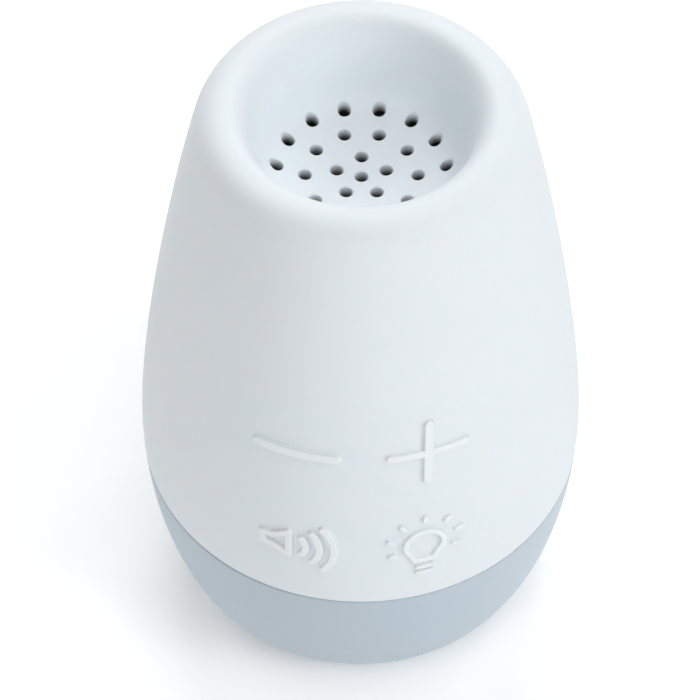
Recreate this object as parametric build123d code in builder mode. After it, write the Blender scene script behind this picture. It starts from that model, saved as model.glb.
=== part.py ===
"""White noise sound machine with a night light: a tumbler-shaped body with a soft white skin over a
rigid inner frame, a blue-grey base, a speaker bowl in the top and four soft keys on the front.

Millimetres. +Z is up, the origin is on the floor under the middle of the body, and the keys face -Y.
"""

import os
from math import asin, atan2, cos, degrees, radians, sin, sqrt, tan

from build123d import *

os.makedirs("parts", exist_ok=True)

# ------------------------------------------------------------------ outline of the body
widest_radius = 35.0
widest_height = 34.0
underside_radius = 26.5  # flat part of the underside
underside_height = 0.8  # how far the feet lift the underside off the floor
underside_rise = 35.0  # degrees above level at which the side leaves the underside
crest_radius = 19.6  # the highest ring of the lip
crest_height = 105.0
shoulder_radius = 24.8  # where the side starts to roll into the lip
shoulder_height = 0.942 * crest_height
shoulder_lean = 13.9  # degrees from upright
dish_height = 0.863 * crest_height  # floor of the bowl, at its middle
dish_curve = 120.0  # radius of the bowl's floor
dish_radius = 10.5  # where the floor turns up into the bowl's wall
bowl_wall_radius = 17.1
bowl_corner_height = 0.9 * crest_height  # level at which the bowl's wall bends into its floor

# how far each end of a curve is pulled along its tangent, as a share of its chord
base_pulls = (0.19, 0.395)
side_pulls = (0.233, 0.268)
shoulder_pulls = (0.42, 0.467)
bowl_pulls = (0.33, 0.42)

# ------------------------------------------------------------------ shells
seam_height = 31.0
seam_gap = 0.2
seam_round = 0.35
shell_wall = 2.2
fit_gap = 0.1  # between nested shells
frame_wall = 1.6
frame_skirt = 7.0  # how far the frame reaches below the seam, inside the base
deck_drop = 5.025  # from the bowl's floor down to the deck
deck_height = dish_height - deck_drop  # underside of the frame's deck, where the speaker is fixed
deck_opening_radius = 15.0
floor_thickness = 2.4
floor_top = underside_height + floor_thickness

# ------------------------------------------------------------------ sound holes in the bowl's floor
hole_radius = 0.95
hole_rings = ((0.0, 1, 0.0), (3.8, 5, 0.0), (8.23, 10, 18.0), (12.46, 15, 12.0))  # radius, count, start angle

# ------------------------------------------------------------------ keys and their signs
key_column = 9.4
key_row_high = 64.0
key_row_low = 44.8
key_pad_radius = 8.15
key_gap = 0.3
key_pad_thickness = 1.6
key_post_radius = 2.4
key_travel = 0.5
sign_height = 0.35
sign_root = 0.3  # how deep a raised sign is sunk into its pad
stroke = 1.2
minus_length = 12.2
plus_length = 12.0
horn_left = -5.7
horn_waist = -3.6
horn_mouth = -0.7
horn_small = 1.5  # half height at the back
horn_large = 3.2  # half height at the mouth
horn_line = 0.8
wave_centre = (-1.8, 0.0)
wave_radii = (3.1, 5.15, 7.3)
wave_half_angle = 38.0
bulb_radius = 3.35
bulb_centre = (0.0, 0.7)
bulb_line = 0.75
neck_half_width = 1.8
neck_bottom = -3.3
cap_lines = ((-4.6, 2.7), (-5.9, 2.7))  # level and length
ray_count = 7
ray_start_radius = 4.6
ray_length = 1.4
ray_width = 0.8
ray_first, ray_last = -20.0, 200.0  # degrees

# ------------------------------------------------------------------ boards and switches
board_front = 0.58 * widest_radius  # the board's front face, from the axis towards the keys
board_thickness = 1.2
board_width = 26.0
board_bottom = 35.0
board_top = 73.0
board_corner = 2.0
board_screw_column = 10.0
board_screw_inset = 2.6
board_boss_radius = 2.4
chip_place = (0.0, 42.0)  # places on the board are left to right and up
chip_size = (9.9, 7.5, 1.8)
chip_legs = 8
chip_leg = (0.4, 1.0, 0.9)
capacitor_place = (-8.4, 60.0)
capacitor_radius = 3.1
capacitor_height = 5.4
small_places = ((-9.0, 51.0), (-9.0, 48.5), (-9.0, 46.0), (9.0, 50.0), (9.0, 47.5), (9.0, 45.0))
small_size = (2.0, 1.25, 0.6)
socket_size = (5.4, 4.5, 3.5)
battery_socket = (0.0, 50.5)
speaker_socket_drop = 17.6  # from the deck down to the speaker's socket
speaker_socket = (0.0, deck_height - speaker_socket_drop)
light_socket = (8.4, 60.0)
switch_size = 6.0
switch_height = 3.1
plunger_radius = 1.7
plunger_bore_gap = 0.1
plunger_reach = 1.4  # how far a plunger stands out of its switch
plunger_root = 1.6  # how far a plunger reaches into its switch
edge_break = 0.3  # small chamfers and rounds

# ------------------------------------------------------------------ battery tube, cartridge and door
cell_radius = 5.2
cell_length = 44.5
cell_nub_radius = 1.9
cell_nub = 0.9
cell_gap = 0.2  # between two cells
cartridge_rim = 0.15  # how far the cartridge's discs stand out past the cells
cartridge_disc = 1.4
cartridge_post_radius = 1.6
contact_room = 1.6  # between a cartridge disc and a cell's end
contact_thickness = 0.3
contact_width = 3.0
contact_column = 4.0  # the tube's two contacts lie this far to the left and right
tab_length = 1.5  # how far a contact's solder tab stands out of the tube
button_radius = 5.2
ring_contact = (6.4, 9.6)  # inner and outer radius
tube_gap = 0.3
tube_wall = 1.4
tube_roof = 1.6
tube_contact_room = 1.2
tube_flange_radius = 17.6
tube_flange = 1.8
tube_screw_ring_radius = 15.9
door_gap = 0.15
door_flange_radius = 14.4
door_flange = 1.05
door_neck_radius = 11.9
lug_radius = 13.6
lug_thickness = 1.2
lug_angle = 30.0
lug_slack = 3.0  # degrees
lug_count = 3
door_turn = 45.0
coin_slot = (15.0, 2.0, 0.6)
door_pad_radius = 7.5
door_pad_thickness = 0.8

# ------------------------------------------------------------------ feet and screws
screw_ring_radius = 22.0
screw_angles = (90.0, 210.0, 330.0)
foot_inner_radius = 18.6
foot_outer_radius = 23.6
foot_arc = 84.0
foot_recess = 0.8
boss_radius = 3.6
boss_top = 16.0
leg_radius = 3.2
leg_top = 36.0
thread_gap = 0.03
housing_screw = (2.0, 1.5, 1.1, 15.0)  # head radius, head height, shank radius, shank length
tube_screw = (1.6, 1.1, 0.8, 3.6)
board_screw = (1.7, 1.1, 0.8, 4.0)
speaker_screw = (2.1, 1.1, 0.9, 6.0)
light_screw = (1.4, 0.9, 0.65, 2.4)
screw_bearing = 10.0  # level of the housing screws' heads' bearing face
recess_length, recess_width = 1.2, 0.32  # of a screw's crossed recess, as shares of the head's radius
recess_depth = 0.45  # as a share of the head's height

# ------------------------------------------------------------------ speaker
speaker_radius = 18.0
gasket_thickness = 1.0
gasket_width = 2.6
basket_flange = 0.8
basket_wall = 0.8
basket_depth = 7.6
basket_neck_radius = 9.6
pole_radius = 4.6
coil_bore = 4.9
coil_wall = 0.6
coil_length = 7.3
coil_gap = 0.35
top_plate_radius = 8.6
top_plate_thickness = 1.5
magnet_radius = 9.4
magnet_bore = 6.4
magnet_thickness = 4.0
yoke_radius = 9.0
yoke_thickness = 1.5
cone_radius = 13.2
cone_thickness = 0.5
dust_cap_rise = 1.6
cone_top_drop = 1.1  # cone's rim below the basket's flange face
surround_thickness = 0.35
spider_radius = 8.9
cone_travel = 0.8
speaker_screw_ring_radius = 19.7
basket_windows = 6
basket_window_angle = 34.0
terminal_size = (8.0, 1.0, 4.2)
lug_size = (1.6, 0.3, 3.0)

# ------------------------------------------------------------------ light board and wires
light_board_radius = 11.6
light_board_thickness = 1.0
light_count = 4
light_ring_radius = 8.4
light_size = (3.5, 2.8, 1.6)
light_screw_ring_radius = 9.4
light_angle = 45.0
wire_radius = 0.5
wire_pitch = 1.25
bend_share = 0.45  # of the shorter run, taken up by a bend
speaker_lead = 4.0  # straight stretches of the wires next to what they are soldered or plugged into
battery_lead = 2.0
light_lead = 3.0
light_landing = (3.6, -9.8)  # where the light's wires meet its board


def polar(radius, angle):
    """Point at a radius and an angle in degrees around the axis."""
    return (radius * cos(radians(angle)), radius * sin(radians(angle)))


def pulled(start, start_direction, end, end_direction, pulls):
    """Four control points of a curve that leaves start and reaches end along the given directions."""
    start, end = Vector(*start), Vector(*end)
    chord = (end - start).length
    first = start + Vector(*start_direction) * (chord * pulls[0])
    second = end - Vector(*end_direction) * (chord * pulls[1])
    return start, first, second, end


def side_points(inset):
    """Start, widest and shoulder points of the side, moved inwards by inset along their normals."""
    rise, lean = radians(underside_rise), radians(shoulder_lean)
    start = (underside_radius - inset * sin(rise), underside_height + inset * cos(rise))
    widest = (widest_radius - inset, widest_height)
    shoulder = (shoulder_radius - inset * cos(lean), shoulder_height - inset * sin(lean))
    return start, widest, shoulder


def draw_side(inset):
    """Two control polygons: underside to the widest ring, and on to the shoulder."""
    start, widest, shoulder = side_points(inset)
    rise, lean = radians(underside_rise), radians(shoulder_lean)
    low = pulled(start, (cos(rise), sin(rise)), widest, (0, 1), base_pulls)
    high = pulled(widest, (0, 1), shoulder, (-sin(lean), cos(lean)), side_pulls)
    return low, high


def dish_point(inset):
    """Edge of the bowl's floor, moved down into the material by inset."""
    angle = asin(dish_radius / dish_curve)
    reach = dish_curve + inset
    return reach * sin(angle), dish_height + dish_curve - reach * cos(angle)


def skin_face():
    """Half section of the whole body: underside, side, lip, bowl wall and bowl floor."""
    start, _, shoulder = side_points(0)
    lean, slope = radians(shoulder_lean), asin(dish_radius / dish_curve)
    crest, edge = (crest_radius, crest_height), dish_point(0)
    with BuildSketch(Plane.XZ) as face:
        with BuildLine():
            for points in draw_side(0):
                Bezier(*points)
            Bezier(*pulled(shoulder, (-sin(lean), cos(lean)), crest, (-1, 0), shoulder_pulls))
            Bezier(*pulled(crest, (-1, 0), edge, (-cos(slope), -sin(slope)), bowl_pulls))
            RadiusArc(edge, (0, dish_height), dish_curve)
            Polyline((0, dish_height), (0, underside_height), start)
        make_face()
    return face.sketch


def core_face(inset):
    """Half section of what lies deeper than inset: the side, a ring inside the lip, and the dish."""
    start, _, shoulder = side_points(inset)
    edge = dish_point(inset)
    ring = bowl_wall_radius + inset
    with BuildSketch(Plane.XZ) as face:
        with BuildLine():
            for points in draw_side(inset):
                Bezier(*points)
            Polyline(shoulder, (ring, shoulder[1]), (ring, bowl_corner_height - inset), edge)
            RadiusArc(edge, (0, dish_height - inset), dish_curve + inset)
            Polyline((0, dish_height - inset), (0, start[1]), start)
        make_face()
    return face.sketch


def disc(radius, low, high, mode=Mode.ADD, places=((0, 0),)):
    """Upright round bar or hole between two levels, at one or more places."""
    with BuildSketch(Plane.XY.offset(low)) as circle:
        with Locations(*places):
            Circle(radius)
    extrude(circle.sketch, amount=high - low, mode=mode)


def finish(builder, name):
    """Labels a finished piece and writes it."""
    builder.part.label = name
    export_step(builder.part, f"parts/{name}.step")


def screw(sizes):
    """Pan head screw, head up, bearing face at level 0, with a crossed recess."""
    head_radius, head_height, shank_radius, length = sizes
    with BuildPart() as body:
        with BuildSketch(Plane.XY):
            Circle(head_radius)
        extrude(amount=head_height)
        fillet(body.edges().sort_by(Axis.Z)[-1], head_height / 3)
        with BuildSketch(Plane.XY):
            Circle(shank_radius)
        extrude(amount=-length)
        chamfer(body.edges().sort_by(Axis.Z)[0], shank_radius / 2)
        with BuildSketch(Plane.XY.offset(head_height)):
            for turn in (0, 90):
                Rectangle(head_radius * recess_length, head_radius * recess_width, rotation=turn)
        extrude(amount=-head_height * recess_depth, mode=Mode.SUBTRACT)
    return body.part


# ------------------------------------------------------------------ soft skin
key_centres = {
    "minus": (-key_column, key_row_high),
    "plus": (key_column, key_row_high),
    "sound": (-key_column, key_row_low),
    "light": (key_column, key_row_low),
}
front_reach = widest_radius + 5  # past the front of the body

with BuildPart() as soft_skin:
    revolve(skin_face(), axis=Axis.Z)
    revolve(core_face(shell_wall), axis=Axis.Z, mode=Mode.SUBTRACT)
    split(bisect_by=Plane.XY.offset(seam_height + seam_gap / 2), keep=Keep.TOP)
    rim = soft_skin.edges().group_by(Axis.Z)[0].sort_by(SortBy.LENGTH)[-1]
    fillet(rim, seam_round)
    with BuildSketch(Plane.XZ) as windows:
        with Locations(*key_centres.values()):
            Circle(key_pad_radius + key_gap)
    extrude(windows.sketch, amount=front_reach, mode=Mode.SUBTRACT)
    for ring_radius, count, start_angle in hole_rings:
        with BuildSketch(Plane.XY.offset(dish_height - 2 * shell_wall)) as holes:
            with PolarLocations(ring_radius, count, start_angle=90 + start_angle):
                Circle(hole_radius)
        extrude(holes.sketch, amount=4 * shell_wall, mode=Mode.SUBTRACT)
finish(soft_skin, "soft_skin")

# ------------------------------------------------------------------ inner frame
frame_inset = shell_wall + fit_gap
frame_inner = frame_inset + frame_wall
screw_places = [polar(screw_ring_radius, angle) for angle in screw_angles]
board_screw_places = [
    (side * board_screw_column, level)
    for side in (-1, 1)
    for level in (board_bottom + board_screw_inset, board_top - board_screw_inset)
]
speaker_screw_places = [polar(speaker_screw_ring_radius, angle + 60) for angle in screw_angles]

with BuildPart() as frame_hollow:
    revolve(core_face(frame_inner), axis=Axis.Z)
    split(bisect_by=Plane.XY.offset(deck_height), keep=Keep.BOTTOM)

with BuildPart() as frame_legs:
    with BuildSketch(Plane.XY.offset(boss_top + fit_gap)) as legs:
        with Locations(*screw_places):
            Circle(leg_radius)
        for angle in screw_angles:
            with Locations(Rotation(0, 0, angle)):
                with Locations((screw_ring_radius + widest_radius / 4, 0)):
                    Rectangle(widest_radius / 2, frame_wall)
    extrude(legs.sketch, amount=leg_top - boss_top - fit_gap)
    revolve(core_face(frame_inset + frame_wall / 2), axis=Axis.Z, mode=Mode.INTERSECT)
    disc(housing_screw[2] + thread_gap, boss_top, leg_top - 2 * frame_wall, Mode.SUBTRACT, screw_places)

with BuildPart() as board_bosses:
    with BuildSketch(Plane.XZ.offset(board_front)) as bosses:
        with Locations(*board_screw_places):
            Circle(board_boss_radius)
    extrude(bosses.sketch, amount=front_reach)
    revolve(core_face(frame_inset + frame_wall / 2), axis=Axis.Z, mode=Mode.INTERSECT)

with BuildPart() as inner_frame:
    revolve(core_face(frame_inset), axis=Axis.Z)
    add(frame_hollow.part, mode=Mode.SUBTRACT)
    split(bisect_by=Plane.XY.offset(seam_height - frame_skirt), keep=Keep.TOP)
    disc(deck_opening_radius, deck_height - frame_wall, crest_height, Mode.SUBTRACT)
    add(frame_legs.part)
    add(board_bosses.part)
    with BuildSketch(Plane.XZ.offset(board_front)) as pilots:
        with Locations(*board_screw_places):
            Circle(board_screw[2] + thread_gap)
    extrude(pilots.sketch, amount=board_screw[3], mode=Mode.SUBTRACT)
    with BuildSketch(Plane.XZ) as post_holes:
        with Locations(*key_centres.values()):
            Circle(key_post_radius + key_gap)
    extrude(post_holes.sketch, amount=front_reach, mode=Mode.SUBTRACT)
    pilot_top = deck_height + speaker_screw[3]
    disc(speaker_screw[2] + thread_gap, deck_height, pilot_top, Mode.SUBTRACT, speaker_screw_places)
finish(inner_frame, "inner_frame")

# ------------------------------------------------------------------ keys
plunger_face = board_front + switch_height + plunger_reach  # where a key's post meets its plunger


def minus_sign():
    """A level bar."""
    with BuildSketch() as sign:
        SlotOverall(minus_length, stroke)
    return sign.sketch


def plus_sign():
    """Two crossed bars."""
    with BuildSketch() as sign:
        SlotOverall(plus_length, stroke)
        SlotOverall(plus_length, stroke, rotation=90)
    return sign.sketch


def wave_band(radius):
    """Part of a ring, with round ends."""
    ends = [polar(radius, angle) for angle in (-wave_half_angle, wave_half_angle)]
    far_ends = [polar(2 * radius, angle) for angle in (-wave_half_angle, wave_half_angle)]
    with BuildSketch() as band:
        Circle(radius + stroke / 2)
        Circle(radius - stroke / 2, mode=Mode.SUBTRACT)
        Polygon((0, 0), *far_ends, align=None, mode=Mode.INTERSECT)
        with Locations(*ends):
            Circle(stroke / 2)
    return band.sketch


def sound_sign():
    """A loudspeaker drawn as an outline, with three waves."""
    points = [
        (horn_left, horn_small),
        (horn_waist, horn_small),
        (horn_mouth, horn_large),
        (horn_mouth, -horn_large),
        (horn_waist, -horn_small),
        (horn_left, -horn_small),
    ]
    with BuildSketch() as sign:
        with BuildLine():
            Polyline(*points, close=True)
        make_face()
        offset(amount=-horn_line, kind=Kind.INTERSECTION, mode=Mode.SUBTRACT)
        with Locations(wave_centre):
            for radius in wave_radii:
                add(wave_band(radius))
    return sign.sketch


def light_sign():
    """A light bulb drawn as an outline, with rays round its glass and two lines for its cap."""
    neck_top = bulb_centre[1] - sqrt(bulb_radius**2 - neck_half_width**2) + bulb_line
    with BuildSketch() as sign:
        with Locations(bulb_centre):
            Circle(bulb_radius)
        with Locations((0, (neck_top + neck_bottom) / 2)):
            Rectangle(2 * neck_half_width, neck_top - neck_bottom)
        offset(amount=-bulb_line, kind=Kind.INTERSECTION, mode=Mode.SUBTRACT)
        for index in range(ray_count):
            angle = ray_first + (ray_last - ray_first) * index / (ray_count - 1)
            middle = Vector(*bulb_centre) + Vector(*polar(ray_start_radius + ray_length / 2, angle))
            with Locations(middle):
                SlotOverall(ray_length, ray_width, rotation=angle)
        for level, length in cap_lines:
            with Locations((0, level)):
                SlotOverall(length, bulb_line)
    return sign.sketch


signs = {"minus": minus_sign(), "plus": plus_sign(), "sound": sound_sign(), "light": light_sign()}

for name, (across, level) in key_centres.items():
    with BuildPart() as raised:
        with BuildSketch(Plane.XZ) as drawing:
            with Locations((across, level)):
                add(signs[name])
        extrude(drawing.sketch, amount=front_reach)
        revolve(core_face(-sign_height), axis=Axis.Z, mode=Mode.INTERSECT)
        revolve(core_face(sign_root), axis=Axis.Z, mode=Mode.SUBTRACT)
    with BuildPart() as post:
        with BuildSketch(Plane.XZ.offset(plunger_face)) as circle:
            with Locations((across, level)):
                Circle(key_post_radius)
        extrude(circle.sketch, amount=front_reach)
        revolve(core_face(key_pad_thickness / 2), axis=Axis.Z, mode=Mode.INTERSECT)
    with BuildPart() as key:
        with BuildSketch(Plane.XZ) as circle:
            with Locations((across, level)):
                Circle(key_pad_radius)
        extrude(circle.sketch, amount=front_reach)
        revolve(core_face(0), axis=Axis.Z, mode=Mode.INTERSECT)
        revolve(core_face(key_pad_thickness), axis=Axis.Z, mode=Mode.SUBTRACT)
        add(raised.part)
        add(post.part)
    finish(key, f"key_{name}")
    with BuildPart() as plunger:
        with BuildSketch(Plane.XZ.offset(plunger_face)):
            with Locations((across, level)):
                Circle(plunger_radius)
        extrude(amount=-plunger_reach - plunger_root)
        fillet(plunger.edges().sort_by(Axis.Y)[0], edge_break)
    finish(plunger, f"plunger_{name}")

# ------------------------------------------------------------------ base shell
foot_angles = [angle + 60 for angle in screw_angles]
tube_screw_places = [polar(tube_screw_ring_radius, angle + 60) for angle in screw_angles]
door_recess_top = underside_height + door_flange + door_gap
lug_bottom = floor_top + door_gap
lug_top = lug_bottom + lug_thickness


def sector(inner, outer, angles, span):
    """Face of ring pieces, each centred on an angle and spanning span degrees."""
    with BuildSketch() as face:
        Circle(outer)
        Circle(inner, mode=Mode.SUBTRACT)
        with BuildSketch(mode=Mode.INTERSECT):
            for angle in angles:
                half, reach = span / 2, outer * 2
                Polygon((0, 0), polar(reach, angle - half), polar(reach, angle + half), align=None)
    return face.sketch


def at_level(sketch, level):
    """The same face at another height."""
    return Pos(0, 0, level) * sketch


lug_angles = [index * 360 / lug_count for index in range(lug_count)]
notch_angles = [angle - door_turn for angle in lug_angles]
lugs_face = sector(door_neck_radius - tube_wall, lug_radius, lug_angles, lug_angle)
notches_face = sector(door_neck_radius, lug_radius + door_gap, notch_angles, lug_angle + 2 * lug_slack)
feet_face = sector(foot_inner_radius, foot_outer_radius, foot_angles, foot_arc)

with BuildPart() as base_shell:
    revolve(core_face(0), axis=Axis.Z)
    revolve(core_face(shell_wall), axis=Axis.Z, mode=Mode.SUBTRACT)
    split(bisect_by=Plane.XY.offset(seam_height - seam_gap / 2), keep=Keep.BOTTOM)
    rim = base_shell.edges().group_by(Axis.Z)[-1].sort_by(SortBy.LENGTH)[-1]
    fillet(rim, seam_round)
    disc(underside_radius, underside_height, floor_top)
    disc(boss_radius, floor_top, boss_top, places=screw_places)
    disc(housing_screw[0] + door_gap, underside_height, screw_bearing, Mode.SUBTRACT, screw_places)
    disc(housing_screw[2] + door_gap, screw_bearing, boss_top, Mode.SUBTRACT, screw_places)
    disc(door_flange_radius + door_gap, underside_height, door_recess_top, Mode.SUBTRACT)
    disc(door_neck_radius + door_gap, underside_height, floor_top, Mode.SUBTRACT)
    extrude(at_level(notches_face, underside_height), amount=floor_thickness, mode=Mode.SUBTRACT)
    extrude(at_level(feet_face, underside_height), amount=foot_recess, mode=Mode.SUBTRACT)
    tube_pilot_bottom = underside_height + foot_recess / 2
    disc(tube_screw[2] + thread_gap, tube_pilot_bottom, floor_top, Mode.SUBTRACT, tube_screw_places)
finish(base_shell, "base_shell")

with BuildPart() as foot_pads:
    extrude(feet_face, amount=underside_height + foot_recess)
    bottom = foot_pads.faces().filter_by(Axis.Z).group_by(Axis.Z)[0]
    chamfer(bottom.edges(), foot_recess / 4)
finish(foot_pads, "foot_pads")

# ------------------------------------------------------------------ battery door
with BuildPart() as battery_door:
    disc(door_flange_radius, underside_height, underside_height + door_flange)
    fillet(battery_door.edges().group_by(Axis.Z)[0], door_flange / 3)
    disc(door_neck_radius, underside_height, lug_top)
    extrude(at_level(lugs_face, lug_bottom), amount=lug_thickness)
    disc(door_neck_radius - tube_wall, floor_top, lug_top, Mode.SUBTRACT)
    with BuildSketch(Plane.XY.offset(underside_height)) as slot_face:
        SlotOverall(coin_slot[0], coin_slot[1])
    extrude(slot_face.sketch, amount=coin_slot[2], mode=Mode.SUBTRACT)
finish(battery_door, "battery_door")

with BuildPart() as door_pad:
    disc(door_pad_radius, floor_top, floor_top + door_pad_thickness)
finish(door_pad, "door_pad")

# ------------------------------------------------------------------ battery tube
cell_pitch_radius = (cell_radius + cell_gap / 2) / sin(radians(60))
cartridge_radius = cell_pitch_radius + cell_radius + cartridge_rim
cartridge_bottom = lug_top + door_gap
cell_bottom = cartridge_bottom + cartridge_disc + contact_room
cell_top = cell_bottom + cell_length
cartridge_top = cell_top + contact_room + cartridge_disc
tube_bore = cartridge_radius + tube_gap
tube_radius = tube_bore + tube_wall
tube_ceiling = cartridge_top + tube_contact_room
tube_top = tube_ceiling + tube_roof
tab_level = tube_ceiling - contact_thickness / 2  # where the contacts' solder tabs leave the tube
tab_places = (-contact_column, contact_column)
light_screw_places = [(side * light_screw_ring_radius, 0) for side in (-1, 1)]

with BuildPart() as battery_tube:
    disc(tube_flange_radius, floor_top, lug_top + door_gap + tube_flange)
    disc(tube_radius, floor_top, tube_top)
    fillet(battery_tube.edges().group_by(Axis.Z)[-1], tube_wall / 2)
    disc(lug_radius + door_gap, floor_top, lug_top + door_gap, Mode.SUBTRACT)
    disc(tube_bore, floor_top, tube_ceiling, Mode.SUBTRACT)
    with BuildSketch(Plane.XY.offset(floor_top)) as reliefs:
        with Locations(*screw_places):
            Circle(boss_radius + door_gap)
    extrude(reliefs.sketch, amount=lug_top, mode=Mode.SUBTRACT)
    flange_top = lug_top + door_gap + tube_flange
    disc(tube_screw[2] + door_gap, floor_top, flange_top, Mode.SUBTRACT, tube_screw_places)
    disc(light_screw[2] + thread_gap, tube_top - tube_roof, tube_top, Mode.SUBTRACT, light_screw_places)
    with BuildSketch(Plane.XZ) as tab_slits:
        with Locations(*[(x, tab_level) for x in tab_places]):
            Rectangle(contact_width + 2 * thread_gap, contact_thickness + 2 * thread_gap)
    extrude(tab_slits.sketch, amount=tube_radius + tube_wall, mode=Mode.SUBTRACT)
finish(battery_tube, "battery_tube")

with BuildPart() as tube_screws:
    with Locations(*[(x, y, flange_top) for x, y in tube_screw_places]):
        add(screw(tube_screw))
finish(tube_screws, "tube_screws")

with BuildPart() as housing_screws:
    with Locations(*[(x, y, screw_bearing) for x, y in screw_places]):
        add(screw(housing_screw), rotation=(180, 0, 0))
finish(housing_screws, "housing_screws")

# ------------------------------------------------------------------ battery cartridge, cells and contacts
cell_angles = (90.0, 210.0, 330.0)
cell_places = [polar(cell_pitch_radius, angle) for angle in cell_angles]
post_ring_radius = cartridge_radius - cartridge_post_radius - cartridge_rim
post_places = [polar(post_ring_radius, angle + 60) for angle in cell_angles]

with BuildPart() as battery_cartridge:
    disc(cartridge_radius, cartridge_bottom, cartridge_bottom + cartridge_disc)
    disc(cartridge_radius, cartridge_top - cartridge_disc, cartridge_top)
    disc(cartridge_post_radius, cartridge_bottom, cartridge_top, places=post_places)
finish(battery_cartridge, "battery_cartridge")

with BuildPart() as battery_cells:
    for index, place in enumerate(cell_places):
        upright = index != 1
        low = cell_bottom if upright else cell_bottom + cell_nub
        nub = cell_top - cell_nub if upright else cell_bottom
        disc(cell_radius, low, low + cell_length - cell_nub, places=[place])
        disc(cell_nub_radius, nub, nub + cell_nub, places=[place])
    rings = battery_cells.edges().filter_by(GeomType.CIRCLE)
    fillet(rings.filter_by(lambda ring: ring.radius > (cell_radius + cell_nub_radius) / 2), cell_gap * 2.5)
finish(battery_cells, "battery_cells")


def bow(place, foot, rise, turn=0.0):
    """Bowed strip that presses on a contact face: its feet are at level foot, its crown is rise above."""
    half, inner = contact_width, contact_width - contact_thickness
    lift = rise - contact_thickness if rise > 0 else rise + contact_thickness
    with BuildSketch(Plane.XZ) as profile:
        with BuildLine():
            ThreePointArc((-half, 0), (0, rise), (half, 0))
            Line((half, 0), (inner, 0))
            ThreePointArc((inner, 0), (0, lift), (-inner, 0))
            Line((-inner, 0), (-half, 0))
        make_face()
    strip = extrude(profile.sketch, amount=contact_width / 2, both=True)
    return Pos(place[0], place[1], foot) * Rot(0, 0, turn) * strip


def strip(first, second, level):
    """Flat strip from one contact place to another, with its underside at a level."""
    (x1, y1), (x2, y2) = first, second
    length = sqrt((x2 - x1) ** 2 + (y2 - y1) ** 2) + 2 * contact_width
    middle = Pos((x1 + x2) / 2, (y1 + y2) / 2, level + contact_thickness / 2)
    turn = degrees(atan2(y2 - y1, x2 - x1))
    return middle * Rot(0, 0, turn) * Box(length, contact_width, contact_thickness)


contact_reach = contact_room - contact_thickness - thread_gap
low_strip = cartridge_bottom + cartridge_disc
high_strip = cartridge_top - cartridge_disc - contact_thickness
contact_pieces = []
for level, foot, rise, groups in (
    (low_strip, low_strip + contact_thickness, contact_reach, ((0, 1), (2, 2))),
    (high_strip, high_strip, -contact_reach, ((1, 2), (0, 0))),
):
    for first, second in groups:
        contact_pieces.append(strip(cell_places[first], cell_places[second], level))
        for index in {first, second}:
            contact_pieces.append(bow(cell_places[index], foot, rise))

with BuildPart() as cartridge_contacts:
    add(contact_pieces)
    disc(button_radius, cartridge_top, cartridge_top + contact_thickness)
    disc(ring_contact[1], cartridge_top, cartridge_top + contact_thickness)
    with BuildSketch(Plane.XY.offset(cartridge_top)) as groove_face:
        Circle(ring_contact[0])
        Circle(button_radius, mode=Mode.SUBTRACT)
    extrude(groove_face.sketch, amount=contact_thickness, mode=Mode.SUBTRACT)
finish(cartridge_contacts, "cartridge_contacts")

ring_contact_reach = sqrt(((ring_contact[0] + ring_contact[1]) / 2) ** 2 - contact_column**2)
tube_reach = tube_contact_room - 2 * contact_thickness - thread_gap
leaf_places = ((-contact_column, 0), (contact_column, -ring_contact_reach))
leaf_bows = [bow(place, tube_ceiling - contact_thickness, -tube_reach, 90) for place in leaf_places]
with BuildPart() as tube_contacts:
    for x, y in leaf_places:
        back = y + contact_width
        front = -tube_radius - tab_length
        with BuildSketch(Plane.XY.offset(tube_ceiling - contact_thickness)) as blade:
            with Locations((x, (back + front) / 2)):
                Rectangle(contact_width, back - front)
        extrude(blade.sketch, amount=contact_thickness)
    add(leaf_bows)
finish(tube_contacts, "tube_contacts")

# ------------------------------------------------------------------ main board
board_back = board_front - board_thickness
board_middle = (board_bottom + board_top) / 2
back_plane = Plane.XZ.offset(board_back)  # sketches here are extruded backwards with a minus sign

with BuildPart() as main_board:
    with BuildSketch(Plane.XZ.offset(board_front)) as board_face:
        with Locations((0, board_middle)):
            RectangleRounded(board_width, board_top - board_bottom, board_corner)
        with Locations(*board_screw_places):
            Circle(board_screw[2] + door_gap, mode=Mode.SUBTRACT)
    extrude(board_face.sketch, amount=-board_thickness)
finish(main_board, "main_board")

with BuildPart() as board_screws:
    for x, z in board_screw_places:
        with Locations((x, -board_back, z)):
            add(screw(board_screw), rotation=(-90, 0, 0))
finish(board_screws, "board_screws")

with BuildPart() as switch_bodies:
    with BuildSketch(Plane.XZ.offset(board_front)) as squares:
        with Locations(*key_centres.values()):
            Rectangle(switch_size, switch_size)
    extrude(squares.sketch, amount=switch_height)
    chamfer(switch_bodies.faces().sort_by(Axis.Y)[: len(key_centres)].edges(), edge_break)
    with BuildSketch(Plane.XZ.offset(board_front + switch_height)) as bores:
        with Locations(*key_centres.values()):
            Circle(plunger_radius + plunger_bore_gap)
    bore_depth = plunger_root + key_travel + fit_gap
    extrude(bores.sketch, amount=-bore_depth, mode=Mode.SUBTRACT)
finish(switch_bodies, "switch_bodies")

with BuildPart() as sound_chip:
    with BuildSketch(back_plane) as body_face:
        with Locations(chip_place):
            Rectangle(chip_size[0], chip_size[1])
    extrude(body_face.sketch, amount=-chip_size[2])
    with BuildSketch(back_plane) as leg_face:
        for side in (-1, 1):
            with Locations((chip_place[0], chip_place[1] + side * chip_size[1] / 2)):
                with GridLocations(chip_size[0] / chip_legs, 0, chip_legs, 1):
                    Rectangle(chip_leg[0], 2 * chip_leg[1])
    extrude(leg_face.sketch, amount=-chip_leg[2])
finish(sound_chip, "sound_chip")

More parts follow.
